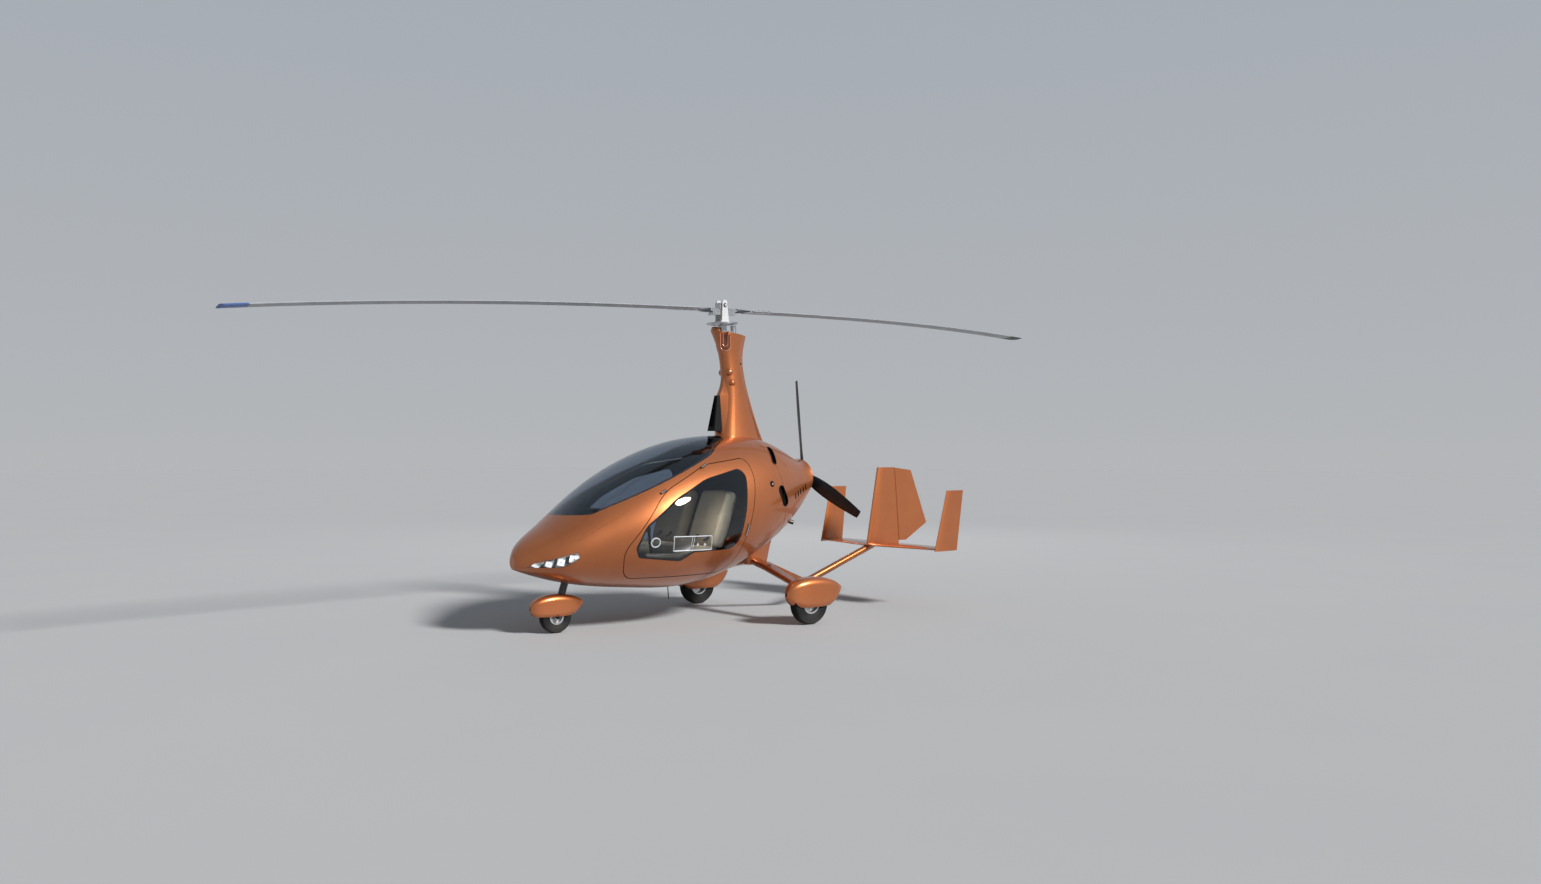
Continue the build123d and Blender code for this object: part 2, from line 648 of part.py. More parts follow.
os.makedirs("parts", exist_ok=True)
for name, solid in parts.items():
    export_step(solid, f"parts/{name}.step")
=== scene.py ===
import math

import bmesh
import bpy
from mathutils import Matrix, Vector
from mathutils.bvhtree import BVHTree


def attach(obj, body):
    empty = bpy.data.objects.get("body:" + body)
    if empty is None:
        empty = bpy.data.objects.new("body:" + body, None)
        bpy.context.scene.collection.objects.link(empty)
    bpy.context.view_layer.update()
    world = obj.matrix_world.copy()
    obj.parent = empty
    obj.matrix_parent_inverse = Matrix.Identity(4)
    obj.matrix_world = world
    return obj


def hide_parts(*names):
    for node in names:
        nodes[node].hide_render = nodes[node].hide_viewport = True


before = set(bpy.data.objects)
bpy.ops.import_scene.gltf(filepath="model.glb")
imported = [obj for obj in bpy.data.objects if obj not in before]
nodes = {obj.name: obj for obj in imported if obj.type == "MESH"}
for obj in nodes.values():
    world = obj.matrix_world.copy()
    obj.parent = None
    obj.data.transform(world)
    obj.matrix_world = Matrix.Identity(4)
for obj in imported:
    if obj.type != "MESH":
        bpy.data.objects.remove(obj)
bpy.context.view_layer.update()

scene = bpy.context.scene
sides = ((1, "left"), (-1, "right"))  # the sign of x on each side
print("frame loaded:", len(nodes), "solids")

# Camera, light, world
viewSettings = {
    "place": (8.50281, -5.95302, 1.45329),
    "yaw": 0.917969, "pitch": 0.0087451, "roll": 0.0017189,
    "lens": 27.255, "sensor": 36.0, "clipEnd": 400,
}


def makeCamera(settings):
    camera = bpy.data.objects.new("viewCamera", bpy.data.cameras.new("viewCamera"))
    camera.data.lens = settings["lens"]
    camera.data.sensor_width = settings["sensor"]
    camera.data.sensor_fit = "HORIZONTAL"
    camera.data.clip_end = settings["clipEnd"]
    camera.matrix_world = (
        Matrix.Translation(settings["place"])
        @ Matrix.Rotation(settings["yaw"], 4, "Z")
        @ Matrix.Rotation(math.pi / 2 + settings["pitch"], 4, "X")
        @ Matrix.Rotation(settings["roll"], 4, "Z")
    )
    scene.collection.objects.link(camera)
    scene.camera = camera


makeCamera(viewSettings)
scene.view_settings.view_transform = "Standard"

lampTable = [  # name, kind, place, aim, size or angle, strength
    ("keyLamp", "SUN", (8.0, 2.6, 6.2), (0, 0, 0.6), 10.0, 4.9),
    ("frontLamp", "AREA", (3.0, -10.0, 5.0), (0, 0, 0.8), 5.0, 20),
    ("rearLamp", "AREA", (-8.0, 7.0, 6.5), (0, 0, 1.0), 6.0, 120),
    ("cabinLamp", "AREA", (0.60, -0.60, 0.96), (0.50, -0.34, 0.76), 0.10, 1.1),
]
for lampName, kind, place, aim, size, strength in lampTable:
    lamp = bpy.data.objects.new(lampName, bpy.data.lights.new(lampName, kind))
    if kind == "SUN":
        lamp.data.angle = math.radians(size)
    else:
        lamp.data.size = size
    lamp.data.energy = strength
    lamp.visible_glossy = kind == "SUN"
    lamp.visible_camera = lamp.visible_transmission = False
    lamp.location = place
    lamp.rotation_euler = (Vector(place) - Vector(aim)).to_track_quat("Z", "Y").to_euler()
    scene.collection.objects.link(lamp)


def addNode(tree, kind, **values):
    # the values are the node's own settings, or constants and links for its sockets
    node = tree.nodes.new(kind)
    for key, value in values.items():
        if hasattr(node, key):
            setattr(node, key, value)
        else:
            plug(tree, value, node.inputs[key.replace("_", " ")])
    return node


def plug(tree, source, socket):
    if isinstance(source, bpy.types.NodeSocket):
        tree.links.new(source, socket)
    else:
        socket.default_value = source


def calc(tree, operation, first, second=0.0, third=None, clamp=False):
    node = addNode(tree, "ShaderNodeMath", operation=operation, use_clamp=clamp)
    plug(tree, first, node.inputs[0])
    plug(tree, second, node.inputs[1])
    if third is not None:
        plug(tree, third, node.inputs[2])
    return node.outputs[0]


def mixColour(tree, mask, first, second):
    node = addNode(tree, "ShaderNodeMix", data_type="RGBA")
    plug(tree, mask, node.inputs[0])
    plug(tree, first, node.inputs[6])
    plug(tree, second, node.inputs[7])
    return node.outputs[2]


def mixValue(tree, mask, first, second):
    node = addNode(tree, "ShaderNodeMix", data_type="FLOAT")
    plug(tree, mask, node.inputs[0])
    plug(tree, first, node.inputs[2])
    plug(tree, second, node.inputs[3])
    return node.outputs[0]


worldSettings = {
    "ambient": (0.80, 0.87, 0.96, 1), "ambientStrength": 0.27,
    "horizon": (0.458, 0.470, 0.484, 1), "zenith": (0.29, 0.35, 0.43, 1), "riseCurve": 0.8,
}


def makeWorld(settings):
    world = bpy.data.worlds.new("paleStudio")
    world.use_nodes = True
    scene.world = world
    tree = world.node_tree
    tree.nodes.clear()
    path = addNode(tree, "ShaderNodeLightPath")
    seen = calc(tree, "MAXIMUM", path.outputs["Is Camera Ray"], path.outputs["Is Glossy Ray"])
    seen = calc(tree, "MAXIMUM", seen, path.outputs["Is Transmission Ray"])
    point = addNode(tree, "ShaderNodeTexCoord").outputs["Generated"]
    parts = addNode(tree, "ShaderNodeSeparateXYZ", Vector=point)
    above = calc(tree, "MAXIMUM", parts.outputs[2], 0.0)
    rise = calc(tree, "POWER", above, settings["riseCurve"], clamp=True)
    ambient = addNode(
        tree, "ShaderNodeBackground",
        Color=settings["ambient"], Strength=settings["ambientStrength"],
    )
    sky = mixColour(tree, rise, settings["horizon"], settings["zenith"])
    backdrop = addNode(tree, "ShaderNodeBackground", Color=sky, Strength=1.0)
    choice = addNode(tree, "ShaderNodeMixShader")
    tree.links.new(seen, choice.inputs[0])
    tree.links.new(ambient.outputs[0], choice.inputs[1])
    tree.links.new(backdrop.outputs[0], choice.inputs[2])
    addNode(tree, "ShaderNodeOutputWorld", Surface=choice.outputs[0])


makeWorld(worldSettings)


# Shared effects
podLine = {"height": 1.022, "rise": 0.22}  # the pod's middle line: z at y = 0, and its rise along y
innerLimits = {"inward": -0.004, "square": 0.97, "behind": -0.2}
dustSettings = {"speckle": 1.6, "tone": (0.27, 0.25, 0.22, 1), "roughness": 0.85}
paintSettings = {"contrast": 2.2, "flakeShare": 0.14, "flakeGain": 1.5, "coatRoughness": 0.04}


def newGroup(name, inputs, outputs):
    tree = bpy.data.node_groups.new(name, "ShaderNodeTree")
    for label, value in inputs:
        socket = tree.interface.new_socket(
            name=label, in_out="INPUT", socket_type="NodeSocketFloat",
        )
        socket.default_value = value
    for label in outputs:
        tree.interface.new_socket(name=label, in_out="OUTPUT", socket_type="NodeSocketFloat")
    given = tree.nodes.new("NodeGroupInput").outputs
    return tree, given, tree.nodes.new("NodeGroupOutput").inputs


def objectPoint(tree):
    return addNode(tree, "ShaderNodeTexCoord").outputs["Object"]


def scaledTexture(tree, given, kind, **values):
    # a texture in Object coordinates at the group's own scale
    return addNode(tree, kind, Vector=objectPoint(tree), Scale=given["Scale"], **values)


def makePatches():
    tree, given, made = newGroup("patches", [("Scale", 4.0), ("Contrast", 1.0)], ["Mask"])
    noise = scaledTexture(tree, given, "ShaderNodeTexNoise", Detail=5.0, Roughness=0.6)
    centred = calc(tree, "SUBTRACT", noise.outputs["Fac"], 0.5)
    spread = calc(tree, "MULTIPLY", centred, given["Contrast"])
    tree.links.new(calc(tree, "ADD", spread, 0.5, clamp=True), made["Mask"])
    return tree


def makeFlake():
    tree, given, made = newGroup("metalFlake", [("Scale", 900.0)], ["Fleck", "Height"])
    cells = scaledTexture(tree, given, "ShaderNodeTexVoronoi")
    split = addNode(tree, "ShaderNodeSeparateColor", Color=cells.outputs["Color"])
    tree.links.new(split.outputs[0], made["Fleck"])
    tree.links.new(split.outputs[1], made["Height"])
    return tree


def makePebble():
    tree, given, made = newGroup("pebbleGrain", [("Scale", 350.0)], ["Height"])
    cells = scaledTexture(
        tree, given, "ShaderNodeTexVoronoi", feature="SMOOTH_F1", Smoothness=0.6,
    )
    noise = scaledTexture(tree, given, "ShaderNodeTexNoise", Detail=3.0)
    height = calc(tree, "ADD", cells.outputs["Distance"], noise.outputs["Fac"])
    tree.links.new(height, made["Height"])
    return tree


def makeBrushed():
    tree, given, made = newGroup("brushedGrain", [("Scale", 60.0), ("Stretch", 20.0)], ["Height"])
    parts = addNode(tree, "ShaderNodeSeparateXYZ", Vector=objectPoint(tree))
    shrunk = calc(tree, "DIVIDE", parts.outputs[1], given["Stretch"])
    joined = addNode(
        tree, "ShaderNodeCombineXYZ", X=parts.outputs[0], Y=shrunk, Z=parts.outputs[2],
    )
    noise = addNode(
        tree, "ShaderNodeTexNoise", Vector=joined.outputs[0], Scale=given["Scale"],
        Detail=4.0, Roughness=0.7,
    )
    tree.links.new(noise.outputs["Fac"], made["Height"])
    return tree


def makeWeave():
    tree, given, made = newGroup("twillWeave", [("Scale", 240.0)], ["Height"])
    waves = []
    for direction in ("X", "Z"):
        wave = scaledTexture(
            tree, given, "ShaderNodeTexWave", bands_direction=direction, Distortion=0.6, Detail=1.0,
        )
        waves.append(wave.outputs["Fac"])
    tree.links.new(calc(tree, "MULTIPLY", *waves), made["Height"])
    return tree


def makeRoadDust():
    tree, given, made = newGroup("roadDust", [("Reach", 0.35), ("Amount", 0.6)], ["Mask"])
    point = objectPoint(tree)
    parts = addNode(tree, "ShaderNodeSeparateXYZ", Vector=point)
    noise = addNode(
        tree, "ShaderNodeTexNoise", Vector=point, Scale=14.0, Detail=6.0, Roughness=0.7,
    )
    share = calc(tree, "DIVIDE", parts.outputs[2], given["Reach"])
    low = calc(tree, "SUBTRACT", 1.0, share, clamp=True)
    speckles = calc(tree, "MULTIPLY", noise.outputs["Fac"], dustSettings["speckle"])
    speckled = calc(tree, "MULTIPLY", low, speckles)
    dusty = calc(tree, "MULTIPLY", speckled, given["Amount"], clamp=True)
    tree.links.new(dusty, made["Mask"])
    return tree


def makeInnerSide():
    # 1 on every face that looks towards the pod's own middle line, and on the bulkhead
    tree, given, made = newGroup(
        "innerSide", [("Line Height", podLine["height"]), ("Line Rise", podLine["rise"])], ["Mask"],
    )
    coords = addNode(tree, "ShaderNodeTexCoord")
    parts = addNode(tree, "ShaderNodeSeparateXYZ", Vector=coords.outputs["Object"])
    facing = addNode(tree, "ShaderNodeSeparateXYZ", Vector=coords.outputs["Normal"])
    lineZ = calc(
        tree, "MULTIPLY_ADD", parts.outputs[1], given["Line Rise"],
        given["Line Height"],
    )
    across = calc(tree, "MULTIPLY", parts.outputs[0], facing.outputs[0])
    above = calc(tree, "SUBTRACT", parts.outputs[2], lineZ)
    outward = calc(tree, "ADD", across, calc(tree, "MULTIPLY", above, facing.outputs[2]))
    inward = calc(tree, "LESS_THAN", outward, innerLimits["inward"])
    along = calc(tree, "ABSOLUTE", facing.outputs[1])
    square = calc(tree, "GREATER_THAN", along, innerLimits["square"])
    behind = calc(tree, "GREATER_THAN", parts.outputs[1], innerLimits["behind"])
    wall = calc(tree, "MULTIPLY", square, behind)
    tree.links.new(calc(tree, "MAXIMUM", inward, wall), made["Mask"])
    return tree


groups = {
    "patches": makePatches(), "flake": makeFlake(), "pebble": makePebble(),
    "brushed": makeBrushed(), "weave": makeWeave(), "dust": makeRoadDust(),
    "innerSide": makeInnerSide(),
}


def useGroup(tree, name, **values):
    node = tree.nodes.new("ShaderNodeGroup")
    node.node_tree = groups[name]
    for key, value in values.items():
        node.inputs[key].default_value = value
    return node


def newMaterial(name):
    material = bpy.data.materials.new(name)
    material.use_nodes = True
    tree = material.node_tree
    return material, tree, tree.nodes["Principled BSDF"].inputs


# Finishes
# colour, shade: the two tones of the patches; rough: low and high
# grain: group, scale, depth in metres
finishTable = {
    "copperPaint": dict(
        colour=(0.48, 0.147, 0.043), shade=(0.37, 0.107, 0.030), patch=2.5, rough=(0.34, 0.42),
        metal=0.74, coat=0.7, grain=("flake", 1100, 0.000008), dust=(0.26, 0.16),
    ),
    "gearPaint": dict(
        colour=(0.44, 0.130, 0.034), shade=(0.32, 0.090, 0.024), patch=6, rough=(0.24, 0.32),
        metal=0.85, coat=1.0, grain=("flake", 1100, 0.000008), dust=(0.40, 0.18),
    ),
    # painted highlight: a lighter copper that draws the mast pocket's rims as lit edges
    "paintedHighlightCopper": dict(
        colour=(0.72, 0.34, 0.20), shade=(0.60, 0.26, 0.15), patch=30, rough=(0.22, 0.30),
        metal=0.5, coat=1.0, grain=("flake", 1100, 0.000008),
    ),
    # painted shade: a dark copper laid as a sheet over the mast pocket's floor
    "paintedShadeCopper": dict(
        colour=(0.20, 0.052, 0.018), shade=(0.15, 0.040, 0.014), patch=20, rough=(0.34, 0.42),
        metal=0.6, coat=0.7, grain=("flake", 1100, 0.000008),
    ),
    "blackPlastic": dict(
        colour=(0.003, 0.003, 0.0035), shade=(0.006, 0.006, 0.0065), patch=22, rough=(0.50, 0.66),
        specular=0.12, grain=("pebble", 420, 0.00012),
    ),
    "propComposite": dict(
        colour=(0.004, 0.004, 0.005), shade=(0.008, 0.008, 0.009), patch=30, rough=(0.34, 0.48),
        coat=0.1, specular=0.18, grain=("weave", 420, 0.00004),
    ),
    "rotorAlloy": dict(
        colour=(0.44, 0.455, 0.47), shade=(0.34, 0.35, 0.37), patch=9, rough=(0.56, 0.68),
        metal=0.15, specular=0.25, grain=("brushed", 240, 0.00003),
    ),
    "paleAlloy": dict(
        colour=(0.58, 0.58, 0.57), shade=(0.48, 0.48, 0.47), patch=30, rough=(0.34, 0.48),
        metal=0.25, grain=("brushed", 600, 0.00003),
    ),
    "machinedAlloy": dict(
        colour=(0.60, 0.61, 0.62), shade=(0.40, 0.41, 0.43), patch=45, rough=(0.2, 0.38),
        metal=1.0, grain=("brushed", 900, 0.00003),
    ),
    "darkSteel": dict(
        colour=(0.10, 0.10, 0.105), shade=(0.05, 0.05, 0.052), patch=60, rough=(0.3, 0.55),
        metal=0.9, grain=("pebble", 500, 0.00008),
    ),
    "exhaustSteel": dict(
        colour=(0.11, 0.09, 0.08), shade=(0.04, 0.034, 0.03), patch=50, rough=(0.35, 0.55),
        metal=0.9, grain=("pebble", 300, 0.00006),
    ),
    "tyreRubber": dict(
        colour=(0.006, 0.006, 0.0065), shade=(0.012, 0.012, 0.012), patch=26, rough=(0.55, 0.75),
        specular=0.18, grain=("pebble", 500, 0.00015), dust=(0.10, 0.14),
    ),
    "rimAlloy": dict(
        colour=(0.60, 0.61, 0.62), shade=(0.42, 0.43, 0.44), patch=40, rough=(0.24, 0.4),
        metal=0.9, grain=("brushed", 500, 0.00004), dust=(0.32, 0.30),
    ),
    "creamLeather": dict(
        colour=(0.88, 0.66, 0.40), shade=(0.74, 0.53, 0.30), patch=9, rough=(0.42, 0.58),
        grain=("pebble", 480, 0.00035),
    ),
    "webbing": dict(
        colour=(0.03, 0.031, 0.034), shade=(0.06, 0.06, 0.065), patch=40, rough=(0.6, 0.8),
        grain=("weave", 900, 0.0002),
    ),
    "cabinTrim": dict(
        colour=(0.028, 0.028, 0.03), shade=(0.05, 0.05, 0.054), patch=14, rough=(0.6, 0.8),
        grain=("pebble", 260, 0.0003),
    ),
    "dialFace": dict(
        colour=(0.012, 0.012, 0.013), shade=(0.02, 0.02, 0.022), patch=40, rough=(0.4, 0.55),
        grain=("pebble", 900, 0.00004),
    ),
    "dialMarks": dict(
        colour=(0.82, 0.82, 0.78), shade=(0.72, 0.72, 0.68), patch=60, rough=(0.5, 0.6),
        grain=("pebble", 900, 0.00003),
    ),
    "chrome": dict(
        colour=(0.86, 0.87, 0.88), shade=(0.74, 0.75, 0.77), patch=60, rough=(0.07, 0.16),
        metal=1.0, grain=("brushed", 700, 0.00001),
    ),
    # glow: the reflector cups give off light of their own, a painted highlight that keeps them
    # bright white
    "lampWhite": dict(
        colour=(0.93, 0.94, 0.95), shade=(0.86, 0.87, 0.89), patch=70, rough=(0.2, 0.35),
        grain=("brushed", 900, 0.00001), glow=0.85,
    ),
    "trayWhite": dict(
        colour=(0.80, 0.81, 0.82), shade=(0.70, 0.71, 0.72), patch=70, rough=(0.25, 0.4),
        grain=("pebble", 900, 0.00001),
    ),
    "ventGrey": dict(
        colour=(0.62, 0.64, 0.65), shade=(0.50, 0.52, 0.54), patch=50, rough=(0.3, 0.45),
        grain=("pebble", 700, 0.00003),
    ),
    "glassEdge": dict(
        colour=(0.006, 0.006, 0.007), shade=(0.012, 0.012, 0.013), patch=50, rough=(0.25, 0.4),
        grain=("pebble", 700, 0.00003),
    ),
}


def makeFinish(name, spec):
    material, tree, sockets = newMaterial(name)
    patches = useGroup(
        tree, "patches", Scale=spec["patch"], Contrast=paintSettings["contrast"],
    ).outputs["Mask"]
    colour = mixColour(tree, patches, (*spec["shade"], 1), (*spec["colour"], 1))
    roughness = mixValue(tree, patches, spec["rough"][1], spec["rough"][0])
    kind, scale, depth = spec["grain"]
    grain = useGroup(tree, kind, Scale=scale)
    if kind == "flake":
        fleck = calc(tree, "MULTIPLY", grain.outputs["Fleck"], paintSettings["flakeShare"])
        bright = [min(1.0, paintSettings["flakeGain"] * c) for c in spec["colour"]]
        colour = mixColour(tree, fleck, colour, (*bright, 1))
    if "dust" in spec:
        reach, amount = spec["dust"]
        dust = useGroup(tree, "dust", Reach=reach, Amount=amount).outputs["Mask"]
        colour = mixColour(tree, dust, colour, dustSettings["tone"])
        roughness = mixValue(tree, dust, roughness, dustSettings["roughness"])
    tree.links.new(colour, sockets["Base Color"])
    tree.links.new(roughness, sockets["Roughness"])
    bump = addNode(
        tree, "ShaderNodeBump", Strength=1.0, Distance=depth, Height=grain.outputs["Height"],
    )
    tree.links.new(bump.outputs["Normal"], sockets["Normal"])
    for label, value in (
        ("Metallic", spec.get("metal", 0.0)), ("Coat Weight", spec.get("coat", 0.0)),
        ("Specular IOR Level", spec.get("specular", 0.5)),
        ("Coat Roughness", paintSettings["coatRoughness"]),
    ):
        sockets[label].default_value = value
    # glow gives a surface light of its own: painted brightness, used on the headlamp cups
    if "glow" in spec:
        tree.links.new(colour, sockets["Emission Color"])
        sockets["Emission Strength"].default_value = spec["glow"]
    return material


finishes = {name: makeFinish(name, spec) for name, spec in finishTable.items()}


def paintOver(material, mask, colour, roughness):
    # a plain second colour over part of a finish
    tree = material.node_tree
    for label, value, blend in (
        ("Base Color", (*colour, 1), mixColour), ("Roughness", roughness, mixValue),
        ("Metallic", 0.0, mixValue), ("Coat Weight", 0.0, mixValue),
    ):
        socket = tree.nodes["Principled BSDF"].inputs[label]
        under = socket.links[0].from_socket if socket.is_linked else socket.default_value
        tree.links.new(blend(tree, mask, under, value), socket)


def sideLine(tree, weights, limit):
    # 1 where the weighted sum of the object's x, y and z is below a limit
    product = addNode(tree, "ShaderNodeVectorMath", operation="DOT_PRODUCT")
    tree.links.new(objectPoint(tree), product.inputs[0])
    product.inputs[1].default_value = weights
    return calc(tree, "LESS_THAN", product.outputs["Value"], limit)


cabinLining = {"colour": (0.03, 0.03, 0.033), "roughness": 0.72}
finishes["linedPaint"] = makeFinish("linedPaint", finishTable["copperPaint"])
innerMask = useGroup(finishes["linedPaint"].node_tree, "innerSide").outputs["Mask"]
paintOver(finishes["linedPaint"], innerMask, cabinLining["colour"], cabinLining["roughness"])

tipStart = 4.02  # how far from the hub the painted blade tips start
tipTable = [(1, (0.03, 0.09, 0.32), 0.35), (-1, (0.02, 0.02, 0.022), 0.4)]  # end, colour, roughness
finishes["rotorSkin"] = makeFinish("rotorSkin", finishTable["rotorAlloy"])
for end, tipColour, tipRoughness in tipTable:
    tipMask = sideLine(finishes["rotorSkin"].node_tree, (0, end, 0), -tipStart)
    paintOver(finishes["rotorSkin"], tipMask, tipColour, tipRoughness)


glassTable = [  # name, tint, roughness
    ("tintedGlass", (0.40, 0.46, 0.54), 0.0), ("clearAcrylic", (0.86, 0.89, 0.90), 0.03),
    ("smokeAcrylic", (0.12, 0.11, 0.10), 0.05), ("lampGlass", (0.96, 0.97, 0.98), 0.0),
]
glassSettings = {"patch": 3.0, "contrast": 1.4, "deeper": 0.93, "uneven": 0.02, "ior": 1.49}


def makeGlass(name, tint, roughness, shared):
    material, tree, sockets = newMaterial(name)
    patches = useGroup(
        tree, "patches", Scale=shared["patch"], Contrast=shared["contrast"],
    ).outputs["Mask"]
    deeper = [shared["deeper"] * c for c in tint]
    colour = mixColour(tree, patches, (*deeper, 1), (*tint, 1))
    tree.links.new(colour, sockets["Base Color"])
    uneven = mixValue(tree, patches, roughness, roughness + shared["uneven"])
    tree.links.new(uneven, sockets["Roughness"])
    sockets["Transmission Weight"].default_value = 1.0
    sockets["IOR"].default_value = shared["ior"]
    return material


for name, tint, roughness in glassTable:
    finishes[name] = makeGlass(name, tint, roughness, glassSettings)

nodeFinishes = {  # a star stands for left and right, a hash for 1, 2 and 3
    "linedPaint": "pod_shell engine_cowl door_*",
    "tintedGlass": "windscreen door_window_*",
    "lampGlass": "headlamp_*",
    "trayWhite": "headlamp_tray_*",
    "blackPlastic": "side_gills air_intake fuel_cap propeller_hub control_stick_* belly_aerial",
    "copperPaint": (
        "mast_fairing belly_pylon main_spat_* nose_spat fin rudder stabiliser outer_fin_*"
    ),
    "exhaustSteel": "exhaust_pipe",
    "darkSteel": "engine_block door_hinge_* main_axle_* nose_fork",
    "gearPaint": "tail_boom gear_bow",
    "tyreRubber": "main_tyre_* nose_tyre",
    "rimAlloy": "main_rim_* nose_rim",
    "rotorSkin": "rotor_blade_front rotor_blade_rear",
    "machinedAlloy": "rotor_hub_bar prerotator_ring rotor_head",
    "paleAlloy": "rotor_tower",
    "propComposite": "propeller_blade_#",
    "creamLeather": "seat_*",
    "cabinTrim": "instrument_panel centre_console",
}


def spelledOut(name):
    if "*" in name:
        return [name.replace("*", sideName) for sideName in ("left", "right")]
    if "#" in name:
        return [name.replace("#", str(number)) for number in (1, 2, 3)]
    return [name]


for finish, names in nodeFinishes.items():
    for nodeName in sum((spelledOut(name) for name in names.split()), []):
        nodes[nodeName].data.materials.clear()
        nodes[nodeName].data.materials.append(finishes[finish])
print("finishes set")


# Floor
floorSettings = {
    "radius": 90, "segments": 96, "patch": 0.6, "roughness": 0.85, "gloss": 0.05,
    "dark": (0.41, 0.414, 0.42, 1), "light": (0.435, 0.435, 0.435, 1),
}


def makeFloor(settings):
    bm = bmesh.new()
    bmesh.ops.create_circle(
        bm, cap_ends=True, segments=settings["segments"], radius=settings["radius"],
    )
    mesh = bpy.data.meshes.new("studioFloor")
    bm.to_mesh(mesh)
    bm.free()
    floor = bpy.data.objects.new("studioFloor", mesh)
    scene.collection.objects.link(floor)
    material, tree, sockets = newMaterial("paleFloor")
    patches = useGroup(tree, "patches", Scale=settings["patch"]).outputs["Mask"]
    colour = mixColour(tree, patches, settings["dark"], settings["light"])
    tree.links.new(colour, sockets["Base Color"])
    sockets["Roughness"].default_value = settings["roughness"]
    sockets["Specular IOR Level"].default_value = settings["gloss"]
    mesh.materials.append(material)


makeFloor(floorSettings)


# Modelling helpers
weldGap = 0.00002


def addPiece(name, bm, finish, body):
    mesh = bpy.data.meshes.new(name)
    bm.to_mesh(mesh)
    bm.free()
    mesh.materials.append(finishes[finish])
    piece = bpy.data.objects.new(name, mesh)
    scene.collection.objects.link(piece)
    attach(piece, body)
    return piece


def finishPiece(name, bm, finish, body="airframe", smoothAngle=32):
    bmesh.ops.recalc_face_normals(bm, faces=bm.faces)
    piece = addPiece(name, bm, finish, body)
    piece.data.shade_smooth()
    piece.data.set_sharp_from_angle(angle=math.radians(smoothAngle))
    return piece


def weldedCopy(nodeName):
    bm = bmesh.new()
    bm.from_mesh(nodes[nodeName].data)
    bmesh.ops.remove_doubles(bm, verts=bm.verts, dist=weldGap)
    bm.normal_update()
    return bm


def dropFaces(bm, faces):
    bmesh.ops.delete(bm, geom=faces, context="FACES")


def addCone(bm, segments, foot, top, depth, place):
    bmesh.ops.create_cone(
        bm, cap_ends=True, segments=segments, radius1=foot, radius2=top, depth=depth, matrix=place,
    )


def addBlock(bm, size, place):
    return bmesh.ops.create_cube(bm, size=1, matrix=place @ Matrix.Diagonal((*size, 1)))["verts"]


def spinRing(bm, profile, place, steps, closed=True):
    # a profile of radius and height, spun about the place's own Z
    verts = [bm.verts.new(place @ Vector((radius, 0, height))) for radius, height in profile]
    edges = [bm.edges.new(pair) for pair in zip(verts, verts[1:])]
    if closed:
        edges.append(bm.edges.new((verts[-1], verts[0])))
    axis = place.to_3x3() @ Vector((0, 0, 1))
    bmesh.ops.spin(
        bm, geom=verts + edges, axis=axis, cent=place.translation, steps=steps, angle=math.tau,
        use_merge=True,
    )


def shifted(x, y, z):
    return Matrix.Translation((x, y, z))


def turned(degrees, axis):
    return Matrix.Rotation(math.radians(degrees), 4, axis)


def outOfPod(face):
    # from the pod's middle line out to a face of its skin
    point = face.calc_center_median()
    middle = podLine["height"] + podLine["rise"] * point.y
    return Vector((point.x, 0, point.z - middle)).normalized()


# Bands round the glass
bandTable = [  # piece, glass node, body, width, finish
    ("windscreenBand", "windscreen", "airframe", 0.026, "glassEdge"),
    ("doorWindowBandLeft", "door_window_left", "port_door", 0.016, "glassEdge"),
    ("doorWindowBandRight", "door_window_right", "starboard_door", 0.016, "glassEdge"),
    ("lampBandLeft", "headlamp_left", "airframe", 0.005, "copperPaint"),
    ("lampBandRight", "headlamp_right", "airframe", 0.005, "copperPaint"),
]
bandSettings = {"facing": -0.35, "flatAngle": 0.2, "lift": 0.0006}


def makeBand(name, nodeName, body, width, finish):
    bm = weldedCopy(nodeName)
    facing = bandSettings["facing"]
    dropFaces(bm, [face for face in bm.faces if face.normal.dot(outOfPod(face)) > facing])
    flat = math.radians(bandSettings["flatAngle"])
    bmesh.ops.dissolve_limit(bm, angle_limit=flat, verts=bm.verts, edges=bm.edges)
    ring = bmesh.ops.inset_region(
        bm, faces=bm.faces, thickness=width, use_even_offset=True, use_boundary=True,
    )
    keep = set(ring["faces"])
    dropFaces(bm, [face for face in bm.faces if face not in keep])
    bm.normal_update()
    for vert in bm.verts:
        vert.co += vert.normal * bandSettings["lift"]
    addPiece(name, bm, finish, body)


for row in bandTable:
    makeBand(*row)
print("glass bands made")


# Wheels
wheelPlaces = {
    "left": (0.849, 0.312, 0.178), "right": (-0.849, 0.312, 0.178), "nose": (0.0, -1.625, 0.130),
}
tyreTable = [  # node, body, wheel, width, rim radius
    ("main_tyre_left", "port_wheel", "left", 0.098, 0.088),
    ("main_tyre_right", "starboard_wheel", "right", 0.098, 0.088),
    ("nose_tyre", "nose_wheel", "nose", 0.084, 0.062),
]
# half profile as shares: across from the middle, then from the bead (0) to the tread (1)
tyreProfile = [
    (0.70, 0.00), (0.80, 0.03), (0.86, 0.10), (0.93, 0.18), (0.97, 0.30), (1.00, 0.45),
    (1.00, 0.58), (0.97, 0.70), (0.955, 0.72), (0.965, 0.74), (0.90, 0.86), (0.80, 0.93),
    (0.64, 0.972),
    (0.62, 0.972), (0.61, 0.935), (0.53, 0.935), (0.52, 0.980), (0.34, 0.992), (0.33, 0.992),
    (0.32, 0.950), (0.24, 0.950), (0.23, 0.995), (0.05, 1.0), (0.04, 0.96), (0.0, 0.96),
]
tyreSteps = 96


